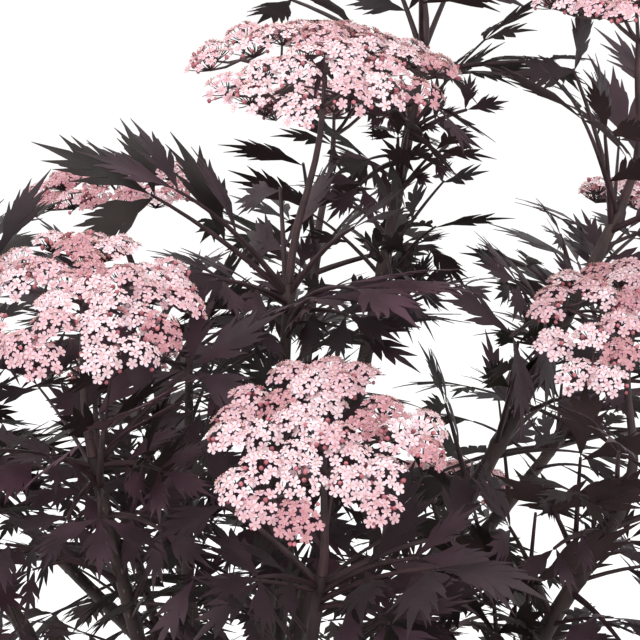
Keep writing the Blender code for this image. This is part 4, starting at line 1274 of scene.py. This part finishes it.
def makePores():
    # small raised pores that lie along the stems
    draw, spots = random.Random(f"{shrub['seed']} pores"), []
    for stem in canes:
        line, radiusAt = stem["line"], caneRadius(stem)
        for _ in range(round(bark["poresPerMetre"] * lineLength(line))):
            t, angle = draw.uniform(0.05, 0.92), draw.uniform(0, math.tau)
            place, way = bezier(line, t), heading(line, t)
            side = way.orthogonal().normalized()
            out = around(side, way.cross(side), angle)
            matrix = rowsOf((way, out.cross(way), out)).T
            spots.append((list(place + out * radiusAt(t, angle, place)), matrix, draw.uniform(0.6, 1.1)))
    look = grownLook("poreLook", (0.150, 0.098, 0.082), (0.075, 0.046, 0.040), 300, 1500, rough=(0.7, 0.9))
    rideJoined("bark_pores", copiesOf(grainTemplate(bark["pore"]), spots), [look], 60, "bark")


makePores()
print("bark pores")


# pot and compost

pot = {
    "height": 0.240,
    "rimRadius": 0.140,
    "mouthRadius": 0.132,
    "footRadius": 0.104,
    "wall": 0.0035,
    "rimDepth": 0.022,
    "steps": 144,
    "edge": 0.0025,
    "waist": 0.0012,  # how far the wall steps in between foot and rim
}

compost = {
    "top": 0.216,
    "crown": 0.006,
    "low": 0.170,  # how far down its skin goes, out of sight
    "steps": 120,
    "bumps": 0.0022,
    "rings": 44,
    "chips": 1500,
    "chipShapes": 4,
}


def spun(profile, steps):
    # a closed solid turned from an outline of (radius, height) points that starts and ends on the axis
    bm = bmesh.new()
    ring = [bm.verts.new((radius, 0, height)) for radius, height in profile]
    edges = [bm.edges.new(pair) for pair in zip(ring, ring[1:])]
    bmesh.ops.spin(bm, geom=ring + edges, cent=(0, 0, 0), axis=(0, 0, 1), angle=math.tau, steps=steps,
                   use_merge=True)
    bmesh.ops.remove_doubles(bm, verts=bm.verts[:], dist=1e-6)
    bmesh.ops.recalc_face_normals(bm, faces=bm.faces[:])
    return bm


def wallRadius(height, inset=0.0):
    return pot["footRadius"] + (pot["mouthRadius"] - pot["footRadius"]) * height / pot["height"] - inset


def makePot():
    top, edge, rim, wall = pot["height"], pot["edge"], pot["rimRadius"], pot["wall"]
    foot, rimFoot, waist = pot["footRadius"], top - pot["rimDepth"], pot["waist"]
    outside = [(0, 0), (foot - edge, 0), (foot - 0.0008, 0.0008), (wallRadius(edge), edge),
               (wallRadius(0.016), 0.016), (wallRadius(0.0175, waist), 0.0175),
               (wallRadius(rimFoot * 0.5, waist), rimFoot * 0.5),
               (wallRadius(rimFoot - 0.012, waist), rimFoot - 0.012),
               (wallRadius(rimFoot - 0.010), rimFoot - 0.010), (wallRadius(rimFoot), rimFoot),
               (rim - 0.0008, rimFoot + 0.0008), (rim, rimFoot + edge), (rim, rimFoot + 0.010),
               (rim - 0.0006, rimFoot + 0.011), (rim - 0.0006, top - edge - 0.002), (rim, top - edge),
               (rim - 0.0007, top - 0.0007), (rim - edge, top)]
    inside = [(wallRadius(top, wall) + 0.001, top), (wallRadius(top, wall), top - 0.001),
              (wallRadius(top - 0.02, wall), top - 0.02), (wallRadius(wall, wall), wall), (0, wall)]
    bm = spun(outside + inside, pot["steps"])
    look = grownLook("potPlastic", (0.034, 0.035, 0.036), (0.024, 0.025, 0.026), 18, 900,
                     rough=(0.42, 0.62), bump=0.15, relief=0.0003)
    rideAs(shown("pot_shell", meshOf("pot_shell", bm), [look], 40), "pot_plastic", "pot")


compostEdge = wallRadius(compost["top"] - compost["crown"], pot["wall"] + shrub["gap"] * 2)


def compostHeight(x, y):
    out = math.hypot(x, y)
    inner, outer = shrub["trunkRadii"][0] + 0.012, wallRadius(compost["top"], pot["wall"])
    fall = min(max((out - inner) / (outer - inner), 0), 1)
    rough = noise.fractal(Vector((x * 60, y * 60, 3)), 0.8, 2.2, 4)
    return compost["top"] - compost["crown"] * fall + compost["bumps"] * rough - 0.0015


def makeCompost():
    low, rings = compost["low"], compost["rings"]
    profile = [(0, low), (wallRadius(low, pot["wall"] + shrub["gap"] * 2), low)]
    profile += [(compostEdge * (1 - k / rings), compost["top"]) for k in range(rings + 1)]
    bm = spun(profile, compost["steps"])
    for corner in bm.verts:
        if corner.co.z > low + 0.001:
            corner.co.z = compostHeight(corner.co.x, corner.co.y)
    look = grownLook("compostLook", (0.070, 0.045, 0.030), (0.022, 0.014, 0.010), 160, 900,
                     rough=(0.85, 1.0), bump=0.8, relief=0.002)
    rideAs(shown("compost_top", meshOf("compost_top", bm), [look], 180), "compost", "compost")


def chipShapes(draw):
    # a few crooked blocks with the same faces, made side by side
    apart, count = 10, compost["chipShapes"]
    bm = bmesh.new()
    for k in range(count):
        made = bmesh.ops.create_cube(bm, size=1)["verts"]
        bmesh.ops.translate(bm, verts=made, vec=(apart * k, 0, 0))
        for corner in made:
            corner.co += shaken(draw, 0.2)
    corners, faces, _ = arraysOf(bm)
    blocks = corners.reshape(count, 8, 3) - np.arange(count)[:, None, None] * [apart, 0, 0]
    return blocks, faces[faces[:, 0] < 8]


def makeChips():
    draw = random.Random(f"{shrub['seed']} chips")
    blocks, faces = chipShapes(draw)
    limit, parts = compostEdge - 0.006, []
    while len(parts) < compost["chips"]:
        x, y = draw.uniform(-limit, limit), draw.uniform(-limit, limit)
        out = math.hypot(x, y)
        if out > limit or out < shrub["trunkRadii"][0] + 0.001:
            continue
        long = draw.uniform(0.003, 0.013) * (1 if draw.random() < 0.3 else 0.6)
        size = np.array([long, long * draw.uniform(0.25, 0.6), draw.uniform(0.0008, 0.0028)])
        lean = Vector((draw.uniform(-0.35, 0.35), draw.uniform(-0.35, 0.35), 1))
        matrix = frameOn(lean, draw.uniform(0, math.tau))
        place = np.array([x, y, compostHeight(x, y) + size[2] * 0.3])
        parts.append(((blocks[draw.randrange(len(blocks))] * size) @ matrix.T + place, faces))
    look = grownLook("barkChips", (0.110, 0.066, 0.040), (0.030, 0.018, 0.012), 240, 1200,
                     rough=(0.8, 1.0), bump=0.6, relief=0.001)
    rideJoined("compost_chips", stacked(parts), [look], 30, "compost")


makePot()
makeCompost()
makeChips()
print("pot and compost")
